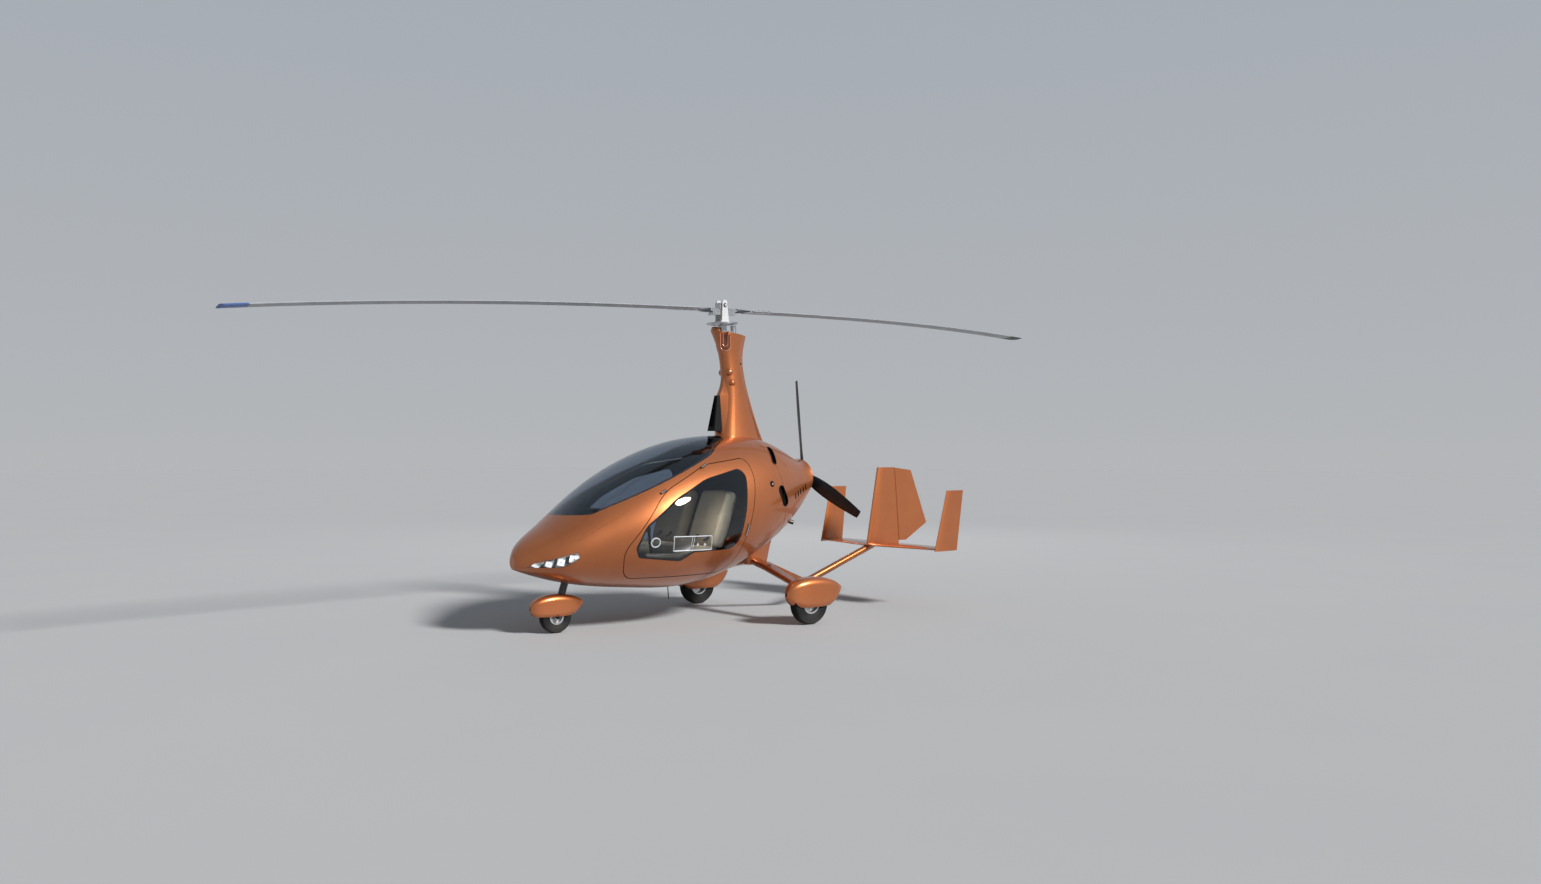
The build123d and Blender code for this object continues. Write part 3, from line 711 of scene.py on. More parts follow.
def makeTyre(nodeName, body, wheel, width, rimRadius):
    place = shifted(*wheelPlaces[wheel]) @ turned(90, "Y")
    depth = wheelPlaces[wheel][2] - rimRadius  # the wheel stands on the ground
    half = [(rimRadius + depth * rise, width / 2 * across) for across, rise in tyreProfile]
    bm = bmesh.new()
    spinRing(bm, half + [(r, -a) for r, a in reversed(half[:-1])], place, tyreSteps)
    bmesh.ops.remove_doubles(bm, verts=bm.verts, dist=weldGap)
    piece = finishPiece(nodeName + "_treaded", bm, "tyreRubber", body, 40)
    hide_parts(nodeName)


for row in tyreTable:
    makeTyre(*row)

boltRings = [  # piece, body, wheel, how far out, ring radius, bolt radius
    ("rimBoltsLeft", "port_wheel", "left", 0.0130, 0.046, 0.0055),
    ("rimBoltsRight", "starboard_wheel", "right", -0.0130, 0.046, 0.0055),
    ("noseRimBolts", "nose_wheel", "nose", 0.0105, 0.036, 0.0045),
]
boltShape = {  # shares of the bolt's radius and height, then the rim bolts' count and height
    "washer": 1.5, "washerHeight": 0.25, "washerLift": 0.12, "foot": 1.15, "top": 1.1,
    "washerSides": 20, "sides": 6, "perRing": 6, "height": 0.006,
}


def addHexBolt(bm, place, radius, height):
    washer, thick = radius * boltShape["washer"], height * boltShape["washerHeight"]
    lift = height * boltShape["washerLift"]
    addCone(bm, boltShape["washerSides"], washer, washer, thick, place @ shifted(0, 0, lift))
    foot, top = radius * boltShape["foot"], radius * boltShape["top"]
    addCone(bm, boltShape["sides"], foot, top, height, place @ shifted(0, 0, height / 2))


for name, body, wheel, outward, ringRadius, boltRadius in boltRings:
    bm = bmesh.new()
    for index in range(boltShape["perRing"]):
        place = (
            shifted(*wheelPlaces[wheel]) @ shifted(outward, 0, 0)
            @ turned(360 * index / boltShape["perRing"], "X") @ shifted(0, 0, ringRadius)
            @ turned(math.copysign(90, outward), "Y")
        )
        addHexBolt(bm, place, boltRadius, boltShape["height"])
    finishPiece(name, bm, "machinedAlloy", body)
print("wheels made")


# Rotor head
rotorPlace = shifted(0, 0, 2.712) @ turned(2.26, "X") @ turned(2.8, "Z")
hubBolts = {
    # y along the blades, and the height of the metal that the bolts stand on
    "clamp": ((0.064, 0.086, 0.108), 0.012), "root": ((0.41, 0.47, 0.53), 0.0105),
    "across": 0.02, "radius": 0.0058, "height": 0.007,
    "pin": (0.05, 0.044), "pinRadius": 0.013, "pinHeight": 0.006,
}


def makeHubBolts(spec):
    bolts, pins = bmesh.new(), bmesh.new()
    for rows, top in (spec["clamp"], spec["root"]):
        for y in [-y for y in reversed(rows)] + list(rows):
            for side in (-1, 1):
                place = rotorPlace @ shifted(side * spec["across"], y, top)
                addHexBolt(bolts, place, spec["radius"], spec["height"])
    across, height = spec["pin"]
    for side in (-1, 1):
        place = rotorPlace @ shifted(side * across, 0, height) @ turned(side * 90, "Y")
        addHexBolt(pins, place, spec["pinRadius"], spec["pinHeight"])
    finishPiece("hubBolts", bolts, "machinedAlloy", "rotor")
    # dark steel pins: painted shade, so the pivot reads as a dark hole
    finishPiece("hubPins", pins, "darkSteel", "rotor")


makeHubBolts(hubBolts)

gripTable = {
    "near": 0.146, "far": 0.300, "halfWidth": 0.038, "halfHeight": 0.018, "taper": 0.35,
    "rounding": 0.006,
}


def makeGrips(spec):
    bm = bmesh.new()
    length = spec["far"] - spec["near"]
    for side in (-1, 1):
        size = (2 * spec["halfWidth"], length, 2 * spec["halfHeight"])
        made = addBlock(bm, size, Matrix.Identity(4))
        edges = {edge for vert in made for edge in vert.link_edges}
        for vert in made:
            if vert.co.y * side > 0:
                vert.co.z *= spec["taper"]
        bmesh.ops.translate(bm, verts=made, vec=(0, side * (spec["near"] + length / 2), 0))
        bmesh.ops.bevel(
            bm, geom=list(edges), offset=spec["rounding"], offset_type="OFFSET", segments=3,
            profile=0.5, affect="EDGES", material=-1,
        )
    bmesh.ops.transform(bm, matrix=rotorPlace, verts=bm.verts)
    # dark steel grips on both blades: painted shade, for the shaded underside of the blade roots
    finishPiece("bladeGrips", bm, "darkSteel", "rotor")


makeGrips(gripTable)
print("rotor head dressed")


# Seats
seatSettings = {
    "middle": 0.292, "width": 0.42, "cuts": 11, "bolster": 0.020, "bolsterStart": 0.62,
    "seamWidth": 0.06, "seamDepth": 0.008, "seamReach": 0.66, "seamTop": 0.9,
    "edgeRound": 0.10, "cornerRound": 0.05, "smoothing": 0.35,
    "base": dict(
        length=0.40, thick=0.105, y=-0.605, z=0.618, tilt=-6.0, crown=0.016,
        channels=(-0.45, 0.0, 0.45),
    ),
    "back": dict(
        length=0.52, thick=0.100, y=-0.290, z=0.880, tilt=70.5, crown=0.016,
        channels=(-0.5, -0.1, 0.3, 0.7),
    ),
}


def padHeight(u, v, w, half, shared, spec):
    # the height of one point of a pad, from its place in a cube of -1 to 1
    height = w * half
    if w > 0:
        start = shared["bolsterStart"]
        height += spec["crown"] * (1 - u * u) * (1 - v * v)
        height += shared["bolster"] * max(0.0, abs(u) - start) / (1 - start)
    if w > shared["seamTop"] and abs(u) < shared["seamReach"]:
        near = [((v - line) / shared["seamWidth"]) ** 2 for line in spec["channels"]]
        height -= shared["seamDepth"] * sum(math.exp(-gap) for gap in near)
    return height


def makePad(name, side, shared, spec):
    bm = bmesh.new()
    bmesh.ops.create_cube(bm, size=2)
    bmesh.ops.subdivide_edges(bm, edges=bm.edges, cuts=shared["cuts"], use_grid_fill=True)
    edge, corner = shared["edgeRound"], shared["cornerRound"]
    for vert in bm.verts:
        u, v, w = vert.co
        vert.co.x = u * shared["width"] / 2 * (1 - edge * w * w - corner * v * v)
        vert.co.y = v * spec["length"] / 2 * (1 - edge * w * w - corner * u * u)
        vert.co.z = padHeight(u, v, w, spec["thick"] / 2, shared, spec)
    bmesh.ops.smooth_vert(
        bm, verts=bm.verts, factor=shared["smoothing"], use_axis_x=True, use_axis_y=True,
        use_axis_z=True,
    )
    place = shifted(side * shared["middle"], spec["y"], spec["z"]) @ turned(spec["tilt"], "X")
    bmesh.ops.transform(bm, matrix=place, verts=bm.verts)
    piece = finishPiece(name, bm, "creamLeather", smoothAngle=60)
    levels = piece.modifiers.new("rounding", "SUBSURF")
    levels.levels = levels.render_levels = 2
    return piece


for side, sideName in sides:
    base = makePad("seatBase_" + sideName, side, seatSettings, seatSettings["base"])
    makePad("seatBack_" + sideName, side, seatSettings, seatSettings["back"])
    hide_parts("seat_" + sideName)
print("seats made")


# Points on the CAD skin
skinReach = 3.0  # rays start this far out at the side
tubeSides = 8
capShape = {"segments": 24, "depth": 0.004, "lift": 0.001}


def skinTree(nodeName):
    bm = bmesh.new()
    bm.from_mesh(nodes[nodeName].data)
    tree = BVHTree.FromBMesh(bm)
    bm.free()
    return tree


def onSkin(tree, side, y, z):
    # the outermost point of one side at this y and z, and the way out of the skin there
    point, normal, _, _ = tree.ray_cast(Vector((side * skinReach, y, z)), Vector((-side, 0, 0)))
    if point is None:
        point, normal, _, _ = tree.find_nearest(Vector((side * 0.6, y, z)))
    if normal.x * side < 0:
        normal = -normal
    return point, normal


def standOn(point, along, out):
    # a frame at a point, with X along and Z outwards
    turn = Matrix((along, out.cross(along), out)).transposed().to_4x4()
    return Matrix.Translation(point) @ turn


def skinPlace(tree, side, y, z):
    # a frame on the skin: X aft along it, Z outwards
    point, out = onSkin(tree, side, y, z)
    return standOn(point, (Vector((0, 1, 0)) - out * out.y).normalized(), out)


def offSkin(tree, side, spots, lift=0.0):
    # one point of the skin for each y and z, lifted off it
    return [point + out * lift for point, out in (onSkin(tree, side, *spot) for spot in spots)]


def sweepTube(bm, points, radius):
    # a round tube along a row of points, by rings bridged one to the next
    rings = []
    last = len(points) - 1
    for index, point in enumerate(points):
        along = points[min(index + 1, last)] - points[max(index - 1, 0)]
        turn = along.to_track_quat("Z", "Y").to_matrix().to_4x4()
        ring = bmesh.ops.create_circle(
            bm, cap_ends=index in (0, last), segments=tubeSides, radius=radius,
            matrix=Matrix.Translation(point) @ turn,
        )["verts"]
        rings.append({edge for vert in ring for edge in vert.link_edges})
    for first, second in zip(rings, rings[1:]):
        bmesh.ops.bridge_loops(bm, edges=list(first | second))


def makeRods(name, rows, radius, finish, body="airframe"):
    bm = bmesh.new()
    for points in rows:
        sweepTube(bm, points, radius)
    finishPiece(name, bm, finish, body, 50)


# Headlamps
lampCells = {
    # the front y, rear y, low z and high z that each light fills
    "cells": [(-1.926, -1.866, 0.546, 0.571), (-1.842, -1.794, 0.550, 0.596),
              (-1.769, -1.717, 0.563, 0.618), (-1.694, -1.622, 0.588, 0.645)],
    "sink": 0.014, "cup": 0.004, "ripple": 0.0006, "waves": 12, "wall": 0.0006,
    "bulb": 0.12, "bulbRise": 0.003,
    # the dark bars between the lights: middle y, low z, high z, width
    "bars": [
        (-1.854, 0.533, 0.604, 0.020), (-1.781, 0.548, 0.626, 0.020), (-1.705, 0.563, 0.650, 0.024),
    ],
    "barDepth": 0.0076,
}


def makeLampLights(sideName, side, spec):
    tree = skinTree("headlamp_" + sideName)
    cups, bulbs, bars = bmesh.new(), bmesh.new(), bmesh.new()
    for front, rear, low, high in spec["cells"]:
        place = skinPlace(tree, side, (front + rear) / 2, (low + high) / 2)
        length, height = rear - front, high - low
        cup = bmesh.ops.create_grid(cups, x_segments=16, y_segments=10, size=1)["verts"]
        for vert in cup:
            u, v = vert.co.x, vert.co.y
            rise = spec["cup"] * max(abs(u), abs(v)) ** 2
            rise += spec["ripple"] * math.cos(u * spec["waves"])
            vert.co = Vector((u * length / 2, v * height / 2, rise - spec["sink"]))
        bmesh.ops.transform(cups, matrix=place, verts=cup)
        bmesh.ops.create_uvsphere(
            bulbs, u_segments=16, v_segments=8, radius=spec["bulb"] * min(length, height),
            matrix=place @ shifted(0, 0, spec["bulbRise"] - spec["sink"]),
        )
    bmesh.ops.solidify(cups, geom=cups.faces[:], thickness=spec["wall"])
    for y, low, high, width in spec["bars"]:
        strip = bmesh.ops.create_grid(bars, x_segments=1, y_segments=6, size=0.5)["verts"]
        for vert in strip:
            spot = (y + vert.co.x * width, low + (vert.co.y + 0.5) * (high - low))
            vert.co = offSkin(tree, side, [spot], -spec["barDepth"])[0]
    for label, bm, finish in (
        ("Bars", bars, "glassEdge"), ("Cups", cups, "lampWhite"), ("Bulbs", bulbs, "chrome"),
    ):
        finishPiece(f"lamp{label}_{sideName}", bm, finish, smoothAngle=50)


lampCover = {
    # a point of each cutting plane and its normal; what lies beyond is covered in paint
    "planes": [((0, 0, 0.5525), (0, 0, -1)), ((0, -1.626, 0.640), (0, 1, 0.4))],
    "facing": 0.3, "lift": 0.0009,
}


def makeLampCover(sideName, spec):
    bm = bmesh.new()
    for point, normal in spec["planes"]:
        part = weldedCopy("headlamp_" + sideName)
        facing = spec["facing"]
        dropFaces(part, [face for face in part.faces if face.normal.dot(outOfPod(face)) < facing])
        bmesh.ops.bisect_plane(
            part, geom=part.verts[:] + part.edges[:] + part.faces[:], plane_co=point,
            plane_no=normal, clear_inner=True,
        )
        part.normal_update()
        for vert in part.verts:
            vert.co += vert.normal * spec["lift"]
        mesh = bpy.data.meshes.new("lampCoverPart")
        part.to_mesh(mesh)
        part.free()
        bm.from_mesh(mesh)
        bpy.data.meshes.remove(mesh)
    finishPiece("lampCover_" + sideName, bm, "copperPaint", smoothAngle=50)


for side, sideName in sides:
    makeLampLights(sideName, side, lampCells)
    makeLampCover(sideName, lampCover)
print("headlamps made")


# Window fittings
windowFittings = {
    "vent": (-1.054, 0.735, 0.041),  # y, z, radius
    # the vent's rim: how far inside the radius, and height off the glass
    "ventRim": [(0.009, -0.001), (0.008, 0.006), (0.002, 0.007), (0.0, 0.004), (0.0, -0.001)],
    "flap": (0.0085, 0.002, 0.0025),  # inside the radius, thickness, height
    "hatch": [(-0.905, 0.777), (-0.545, 0.772), (-0.520, 0.656), (-0.888, 0.660)],
    "uprights": (-0.735, -0.715), "darkPane": (-0.890, -0.735),
    "knobs": [(-0.672, 0.703), (-0.600, 0.700)], "knobShape": (0.011, 0.008, 0.007),
    "bar": 0.0038, "thinBar": 0.00304, "lift": 0.003, "paneLift": 0.001,
    # cream trim on the sill inside the window: y and z of its middle line, radius, how far in
    "sill": [(-1.100, 0.612), (-1.020, 0.606), (-0.900, 0.600), (-0.800, 0.598), (-0.770, 0.604)],
    "sillRadius": 0.020, "sillDepth": 0.034,
}


def makeVent(sideName, side, body, tree, spec):
    y, z, radius = spec["vent"]
    place = skinPlace(tree, side, y, z)
    rim, flap = bmesh.new(), bmesh.new()
    spinRing(rim, [(radius - inside, height) for inside, height in spec["ventRim"]], place, 48)
    inside, thick, height = spec["flap"]
    addCone(flap, 40, radius - inside, radius - inside, thick, place @ shifted(0, 0, height))
    bmesh.ops.remove_doubles(rim, verts=rim.verts, dist=weldGap)
    finishPiece("windowVent_" + sideName, rim, "ventGrey", body)
    finishPiece("windowVentFlap_" + sideName, flap, "clearAcrylic", body)


def makeHatchBar(name, side, body, tree, start, end, steps, radius, lift):
    shares = [index / steps for index in range(steps + 1)]
    spots = [[a + share * (b - a) for a, b in zip(start, end)] for share in shares]
    makeRods(name, [offSkin(tree, side, spots, lift)], radius, "ventGrey", body)


def makeHatch(sideName, side, body, tree, spec):
    corners = spec["hatch"]
    low, high = corners[2][1], corners[0][1]
    ends = corners[1:] + corners[:1]
    names = [f"hatch{label}_{sideName}" for label in ("Top", "Rear", "Foot", "Front")]
    for name, start, end in zip(names, corners, ends):
        makeHatchBar(name, side, body, tree, start, end, 6, spec["bar"], spec["lift"])
    for label, y in zip(("Middle", "Slider"), spec["uprights"]):
        name = f"hatch{label}_{sideName}"
        makeHatchBar(name, side, body, tree, (y, high), (y, low), 4, spec["thinBar"], spec["lift"])
    knobs, pane = bmesh.new(), bmesh.new()
    foot, top, depth = spec["knobShape"]
    for y, z in spec["knobs"]:
        addCone(knobs, 20, foot, top, depth, skinPlace(tree, side, y, z) @ shifted(0, 0, depth / 2))
    finishPiece("hatchKnobs_" + sideName, knobs, "ventGrey", body)
    front, rear = spec["darkPane"]
    for vert in bmesh.ops.create_grid(pane, x_segments=8, y_segments=4, size=0.5)["verts"]:
        spot = (front + (vert.co.x + 0.5) * (rear - front), low + (vert.co.y + 0.5) * (high - low))
        vert.co = offSkin(tree, side, [spot], spec["paneLift"])[0]
    finishPiece("hatchOpening_" + sideName, pane, "smokeAcrylic", body)


for side, sideName, body in ((1, "left", "port_door"), (-1, "right", "starboard_door")):
    glassTree = skinTree("door_window_" + sideName)
    makeVent(sideName, side, body, glassTree, windowFittings)
    makeHatch(sideName, side, body, glassTree, windowFittings)
    sill = offSkin(glassTree, side, windowFittings["sill"], -windowFittings["sillDepth"])
    makeRods("sillTrim_" + sideName, [sill], windowFittings["sillRadius"], "creamLeather", body)
print("window fittings made")


# Brow of the mast: the wall goes on above the solid's sloped top
mastBrow = {
    "topY": -0.300, "topZ": 2.590, "slope": -0.2975, "near": 0.0004,
    "well": (0.0525, -0.03, 0.170),  # half width, front y, rear y
    # y, height above the slope, shift aft
    "rise": [
        (-0.125, 0.032, 0.014), (-0.085, 0.032, 0.012), (-0.062, 0.006, 0.0), (0.060, 0.029, 0.0),
        (0.270, 0.076, 0.018),
    ],
    "flare": 0.10, "halfWidth": 0.09, "wall": 0.005,
}


def between(rows, place):
    # the other columns of a table at one value of its first column
    for first, second in zip(rows, rows[1:]):
        if place <= second[0]:
            break
    share = min(1.0, max(0.0, (place - first[0]) / (second[0] - first[0])))
    return [a + share * (b - a) for a, b in zip(first[1:], second[1:])]


def makeBrow(spec):
    bm = weldedCopy("mast_fairing")

    def offTop(vert):
        return abs(vert.co.z - spec["topZ"] - spec["slope"] * (vert.co.y - spec["topY"]))

    top = {face for face in bm.faces if max(offTop(v) for v in face.verts) < spec["near"]}
    dropFaces(bm, [face for face in bm.faces if face not in top])
    halfWidth, front, rear = spec["well"]
    rim = []
    for edge in bm.edges:
        middle = (edge.verts[0].co + edge.verts[1].co) / 2
        inWell = abs(middle.x) < halfWidth and front < middle.y < rear
        if edge.is_boundary and not inWell:
            rim.append(edge)
    for item in bmesh.ops.extrude_edge_only(bm, edges=rim)["geom"]:
        if isinstance(item, bmesh.types.BMVert):
            height, shift = between(spec["rise"], item.co.y)
            flare = spec["flare"] * height * item.co.x / spec["halfWidth"]
            item.co += Vector((flare, shift, height))
    dropFaces(bm, [face for face in bm.faces if face in top])
    bmesh.ops.recalc_face_normals(bm, faces=bm.faces)
    bmesh.ops.solidify(bm, geom=bm.faces[:], thickness=spec["wall"])
    finishPiece("mastBrow", bm, "copperPaint", smoothAngle=50)


makeBrow(mastBrow)

# Step of the mast behind the air intake
mastStep = {
    "levels": [  # z, front y, half width in front, rear y, half width there
        (1.585, -0.0360, 0.0620, -0.0120, 0.0840), (1.620, -0.0350, 0.0610, -0.0080, 0.0800),
        (1.660, -0.0340, 0.0590, -0.0020, 0.0785), (1.740, -0.0345, 0.0515, 0.0123, 0.0740),
        (1.820, -0.0360, 0.0436, 0.0257, 0.0708), (1.900, -0.0375, 0.0360, 0.0358, 0.0668),
        (1.955, -0.0375, 0.0295, 0.0400, 0.0650), (1.966, -0.0340, 0.0290, 0.0410, 0.0645),
        (1.980, -0.0270, 0.0285, 0.0413, 0.0635), (2.000, -0.0170, 0.0280, 0.0420, 0.0625),
        (2.030, -0.0070, 0.0275, 0.0422, 0.0615), (2.070, 0.0025, 0.0265, 0.0418, 0.0605),
        (2.110, 0.0080, 0.0250, 0.0410, 0.0595),
    ],
    # the front corner: share of the half width, y behind the front
    "corner": [(0.7, 0.0), (0.93, 0.0015), (1.0, 0.006)],
}


def makeMastStep(spec):
    bm = bmesh.new()
    rings = []
    for z, front, width, rear, rearWidth in spec["levels"]:
        half = [(share * width, front + back) for share, back in spec["corner"]]
        half.append((rearWidth, rear))
        ring = [bm.verts.new((x, y, z)) for x, y in half + [(-x, y) for x, y in reversed(half)]]
        rings.append([bm.edges.new(pair) for pair in zip(ring, ring[1:] + ring[:1])])
    for first, second in zip(rings, rings[1:]):
        bmesh.ops.bridge_loops(bm, edges=first + second)
    bmesh.ops.holes_fill(bm, edges=rings[0] + rings[-1])
    finishPiece("mastStep", bm, "copperPaint", smoothAngle=40)


makeMastStep(mastStep)


# Mast cover and grommet
mastDetails = {
    "grommet": (0.182, 2.243, 0.011, 0.00825),  # y, z, radius at the foot and at the top
    "cover": [(0.338, 1.765), (0.350, 1.700), (0.373, 1.600), (0.422, 1.603)],
    "coverRadius": 0.0016, "shadeSheetLift": 0.0008, "reach": 0.1,
    "pocket": ((0.0704, -0.0096, 2.483), (0.78, -0.62, 0.0)),  # its middle and the way out
    # the hooks round the pocket and on its floor: width, top, foot, tube radius
    "hooks": [(0.088, 0.020, -0.088, 0.0034), (0.040, 0.020, -0.074, 0.0030)],
}


def addCap(bm, tree, side, shape):
    # a low round cap that stands on the skin
    y, z, foot, top = shape
    place = skinPlace(tree, side, y, z) @ shifted(0, 0, capShape["lift"])
    addCone(bm, capShape["segments"], foot, top, capShape["depth"], place)


def hookOutline(width, top, foot, steps=12):
    # down one side, round the foot and up the other side, with X upwards
    straight = [top + (foot - top) * index / steps for index in range(steps)]
    down = [Vector((rise, -width / 2, 0)) for rise in straight]
    bend = []
    for index in range(steps + 1):
        angle = math.pi * index / steps
        bend.append(Vector((foot - math.sin(angle) * width / 2, -math.cos(angle) * width / 2, 0)))
    return down + bend + [Vector((rise, width / 2, 0)) for rise in reversed(straight)]


def makeMastDetails(spec):
    tree = skinTree("mast_fairing")
    reach = spec["reach"]
    rings, rims, shadeSheets = bmesh.new(), bmesh.new(), bmesh.new()
    for side in (1, -1):
        addCap(rings, tree, side, spec["grommet"])
        (px, py, pz), (ox, oy, oz) = spec["pocket"]
        out = Vector((side * ox, oy, oz)).normalized()
        place = standOn((side * px, py, pz), Vector((0, 0, 1)), out)
        width, top, foot, _ = spec["hooks"][0]
        # a dark sheet just off the pocket's floor: painted shade inside the pocket
        for vert in bmesh.ops.create_grid(shadeSheets, x_segments=16, y_segments=10, size=1)["verts"]:
            rise = foot - width / 2 + (vert.co.x + 1) / 2 * (top - foot + width / 2)
            room = math.sqrt(max(0.0, (width / 2) ** 2 - min(0.0, rise - foot) ** 2))
            spot = place @ Vector((rise, vert.co.y * room, reach))
            touched = tree.ray_cast(spot, -out, 2 * reach)[0]
            touched = touched or tree.find_nearest(spot - out * reach)[0]
            vert.co = touched + out * spec["shadeSheetLift"]
        for width, top, foot, tube in spec["hooks"]:
            found = []
            for point in hookOutline(width, top, foot):
                touched = tree.ray_cast(place @ (point + Vector((0, 0, reach))), -out, 2 * reach)[0]
                if touched:
                    found.append(touched)
            sweepTube(rims, found, tube)
    finishPiece("mastGrommets", rings, "blackPlastic")
    # the rims carry a painted highlight of lit edges
    finishPiece("pocketRims", rims, "paintedHighlightCopper", smoothAngle=50)
    # the sheets carry painted shade inside the pockets
    finishPiece("pocketShadeSheets", shadeSheets, "paintedShadeCopper", smoothAngle=50)
    for side, sideName in sides:
        points = offSkin(tree, side, spec["cover"])
        rows = list(zip(points, points[1:]))
        makeRods("mastCoverSeam_" + sideName, rows, spec["coverRadius"], "glassEdge")


makeMastDetails(mastDetails)
print("mast details made")


# Door handles, filler lock and the seam in front of the cowl
skinDetails = {
    "handle": [(-0.140, 0.846), (-0.146, 0.800), (-0.152, 0.755)],
    "handleRadius": 0.0065, "handleLift": 0.002,
    "lock": (0.159, 1.180, 0.0105, 0.008925),  # y, z, radius at the foot and at the top
    "seam": ((0.208, 1.587), (0.450, 0.702)), "seamSteps": 40, "seamShift": 0.0008,
    "crease": [(-1.754, 0.708), (-1.615, 0.768), (-1.466, 0.858), (-1.310, 0.945), (-1.230, 1.000)],
    "lineRadius": 0.0014,
}


def makeSkinDetails(spec):
    pod = skinTree("pod_shell")
    for side, sideName, door in ((1, "left", "port_door"), (-1, "right", "starboard_door")):
        handle = offSkin(skinTree("door_" + sideName), side, spec["handle"], spec["handleLift"])
        makeRods("doorHandle_" + sideName, [handle], spec["handleRadius"], "machinedAlloy", door)
        # the crease is a thin tube in the darker gear paint: painted shade along the crease
        crease = offSkin(pod, side, spec["crease"])
        makeRods("noseCrease_" + sideName, [crease], spec["lineRadius"], "gearPaint")
        (highY, highZ), (lowY, lowZ) = spec["seam"]
        seam = []
        for index in range(spec["seamSteps"] + 1):
            share = index / spec["seamSteps"]
            y = highY + share * (lowY - highY) - spec["seamShift"]
            spot = Vector((side * skinReach, y, highZ + share * (lowZ - highZ)))
            touched = pod.ray_cast(spot, Vector((-side, 0, 0)), skinReach)[0]
            if touched:
                seam.append(touched)
        makeRods("cowlSeam_" + sideName, [seam], spec["lineRadius"], "glassEdge")
    lock = bmesh.new()
    addCap(lock, skinTree("fuel_cap"), 1, spec["lock"])
    finishPiece("fillerLock", lock, "chrome")


makeSkinDetails(skinDetails)
print("skin details made")


# Instrument panel
panelSettings = {
    "face": -1.2150,
    "dials": [  # x, z, radius
        (-0.255, 0.905, 0.040), (-0.255, 0.805, 0.040), (-0.165, 0.905, 0.040),
        (-0.165, 0.805, 0.040), (0.165, 0.905, 0.040), (0.165, 0.805, 0.040),
        (0.255, 0.905, 0.032), (0.255, 0.820, 0.032),
    ],
    # a dial's rim and plate: how far inside the radius, and height off the panel
    "rim": [(0, -0.002), (0, 0.006), (0.005, 0.009), (0.008, 0.004), (0.008, -0.002)],
    "plate": (0.006, 0.002), "dialSteps": 36,
    # marks: the angles, how far inside the radius, height, size
    "ticks": (range(225, -46, -27), 0.013, 0.003, (0.006, 0.0014, 0.0006)),
    # pointer: length and middle as shares of the radius, height, width, thickness
    "pointer": (0.55, 0.22, 0.0038, 0.0018, 0.0008),
    "reading": (130, 300),  # the pointer's angle in the middle of the panel, and its change with x
    "screen": (0.0, 0.880, 0.200, 0.130),  # x, z, width, height
    "screenFrame": 0.02, "screenDepth": 0.014, "screenLift": 0.0075,
    "switches": [-0.105, -0.070, -0.035, 0.0, 0.035, 0.070, 0.105], "switchZ": 0.765,
    # segments, radius at the foot and at the top, length
    "nut": (6, 0.008, 0.008, 0.005), "nutLift": 0.002,
    "lever": (10, 0.0025, 0.0038, 0.022), "leverLift": 0.012, "leverTilt": 22,
}


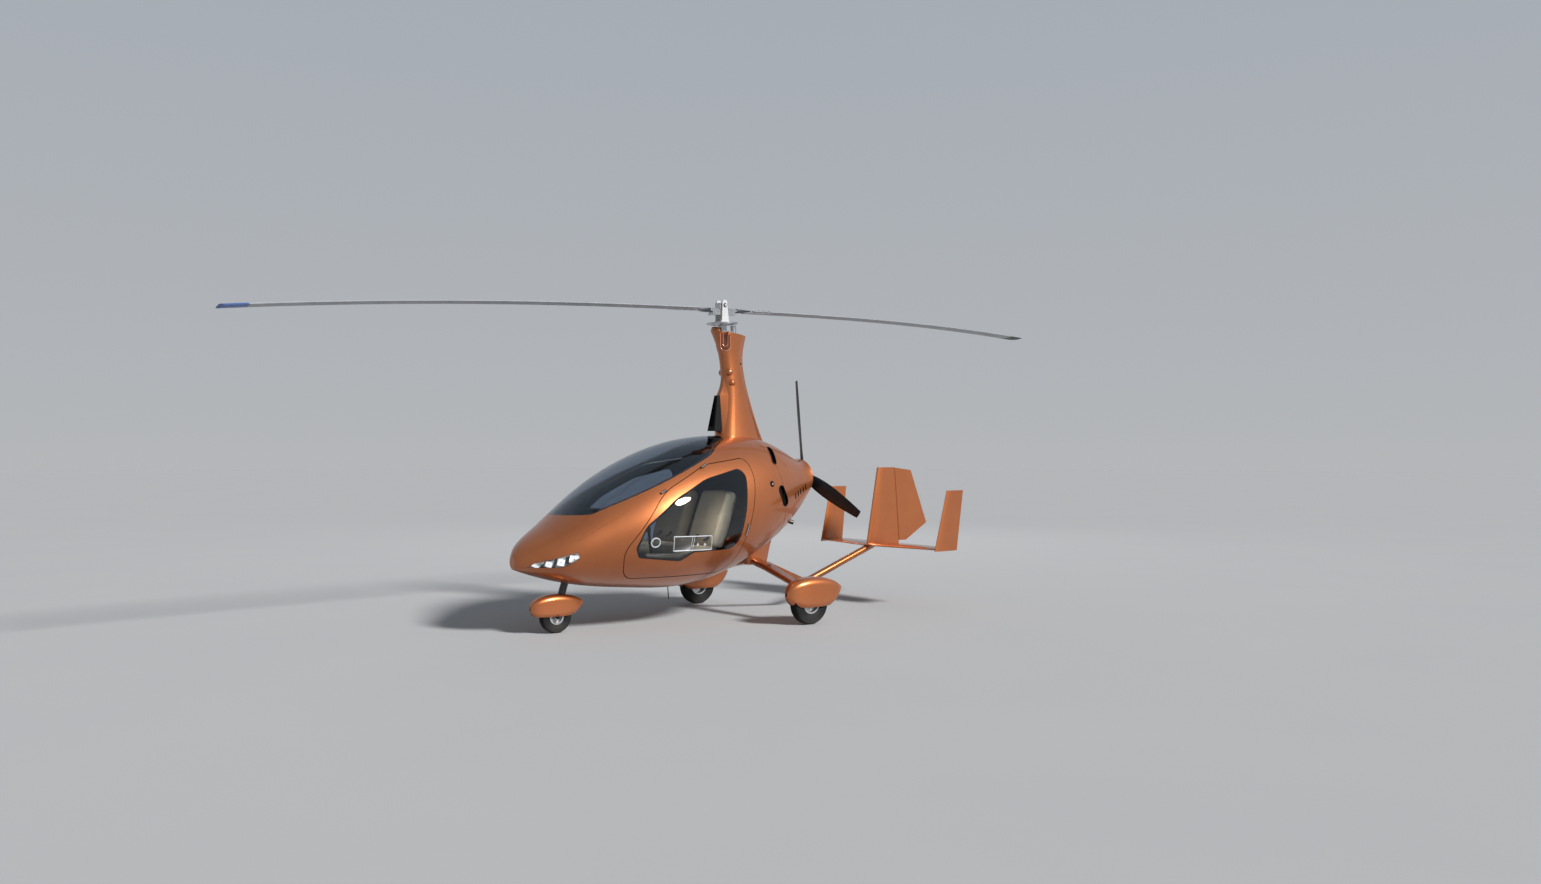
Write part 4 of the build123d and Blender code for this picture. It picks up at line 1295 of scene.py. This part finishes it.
def makePanel(spec):
    bezels, faces, marks = bmesh.new(), bmesh.new(), bmesh.new()

    def onPanel(x, z):
        return shifted(x, spec["face"], z) @ turned(-90, "X")

    for x, z, radius in spec["dials"]:
        place = onPanel(x, z)
        rim = [(radius - inside, height) for inside, height in spec["rim"]]
        spinRing(bezels, rim, place, spec["dialSteps"], closed=False)
        inside, height = spec["plate"]
        bmesh.ops.create_circle(
            faces, cap_ends=True, segments=spec["dialSteps"], radius=radius - inside,
            matrix=place @ shifted(0, 0, height),
        )
        angles, inside, height, size = spec["ticks"]
        for angle in angles:
            addBlock(marks, size, place @ turned(angle, "Z") @ shifted(radius - inside, 0, height))
        long, middle, height, width, thick = spec["pointer"]
        start, change = spec["reading"]
        turn = turned(start + change * x, "Z") @ shifted(radius * middle, 0, height)
        addBlock(marks, (radius * long, width, thick), place @ turn)
    x, z, width, height = spec["screen"]
    edge = spec["screenFrame"]
    addBlock(bezels, (width + edge, height + edge, spec["screenDepth"]), onPanel(x, z))
    stretch = Matrix.Diagonal((width, height, 1, 1))
    bmesh.ops.create_grid(
        faces, x_segments=1, y_segments=1, size=0.5,
        matrix=onPanel(x, z) @ shifted(0, 0, spec["screenLift"]) @ stretch,
    )
    for x in spec["switches"]:
        place = onPanel(x, spec["switchZ"])
        addCone(bezels, *spec["nut"], place @ shifted(0, 0, spec["nutLift"]))
        tilt = turned(spec["leverTilt"], "X") @ shifted(0, 0, spec["leverLift"])
        addCone(bezels, *spec["lever"], place @ tilt)
    finishPiece("panelBezels", bezels, "darkSteel")
    finishPiece("panelFaces", faces, "dialFace")
    finishPiece("panelMarks", marks, "dialMarks")


makePanel(panelSettings)
print("panel made")


# Seat belts
beltSettings = {
    "width": 0.045, "thick": 0.0024, "spread": 0.085, "lift": 0.018,
    "line": [(-0.150, 1.100), (-0.205, 1.085), (-0.270, 0.985), (-0.330, 0.850), (-0.385, 0.735),
             (-0.430, 0.712)],
}


def makeBelts(sideName, side, spec):
    bm = bmesh.new()
    for shift in (-1, 1):
        middle = side * seatSettings["middle"] + shift * spec["spread"]
        y, z = spec["line"][0]
        ends = [middle - spec["width"] / 2, middle + spec["width"] / 2]
        edge = bm.edges.new([bm.verts.new((x, y - spec["lift"], z)) for x in ends])
        for y, z in spec["line"][1:]:
            grown = bmesh.ops.extrude_edge_only(bm, edges=[edge])["geom"]
            edge = [item for item in grown if isinstance(item, bmesh.types.BMEdge)][0]
            for vert in edge.verts:
                vert.co = Vector((vert.co.x, y - spec["lift"], z))
    bmesh.ops.recalc_face_normals(bm, faces=bm.faces)
    bmesh.ops.solidify(bm, geom=bm.faces[:], thickness=spec["thick"])
    finishPiece("belts_" + sideName, bm, "webbing", smoothAngle=60)


for side, sideName in sides:
    makeBelts(sideName, side, beltSettings)
print("belts made")


# Propeller hub bolts
propBolts = {
    "hub": (0, 0.922, 1.260), "turn": -5.8, "bolts": 6, "offset": (0, 0.028, 0.057),
    "radius": 0.0065, "height": 0.009,
}


def makePropBolts(spec):
    bm = bmesh.new()
    hub = shifted(*spec["hub"]) @ turned(spec["turn"], "Y")
    for index in range(spec["bolts"]):
        place = hub @ turned(360 / spec["bolts"] * index, "Y") @ shifted(*spec["offset"])
        addHexBolt(bm, place @ turned(-90, "X"), spec["radius"], spec["height"])
    finishPiece("propHubBolts", bm, "machinedAlloy", "propeller")


makePropBolts(propBolts)
print("propeller bolts made")
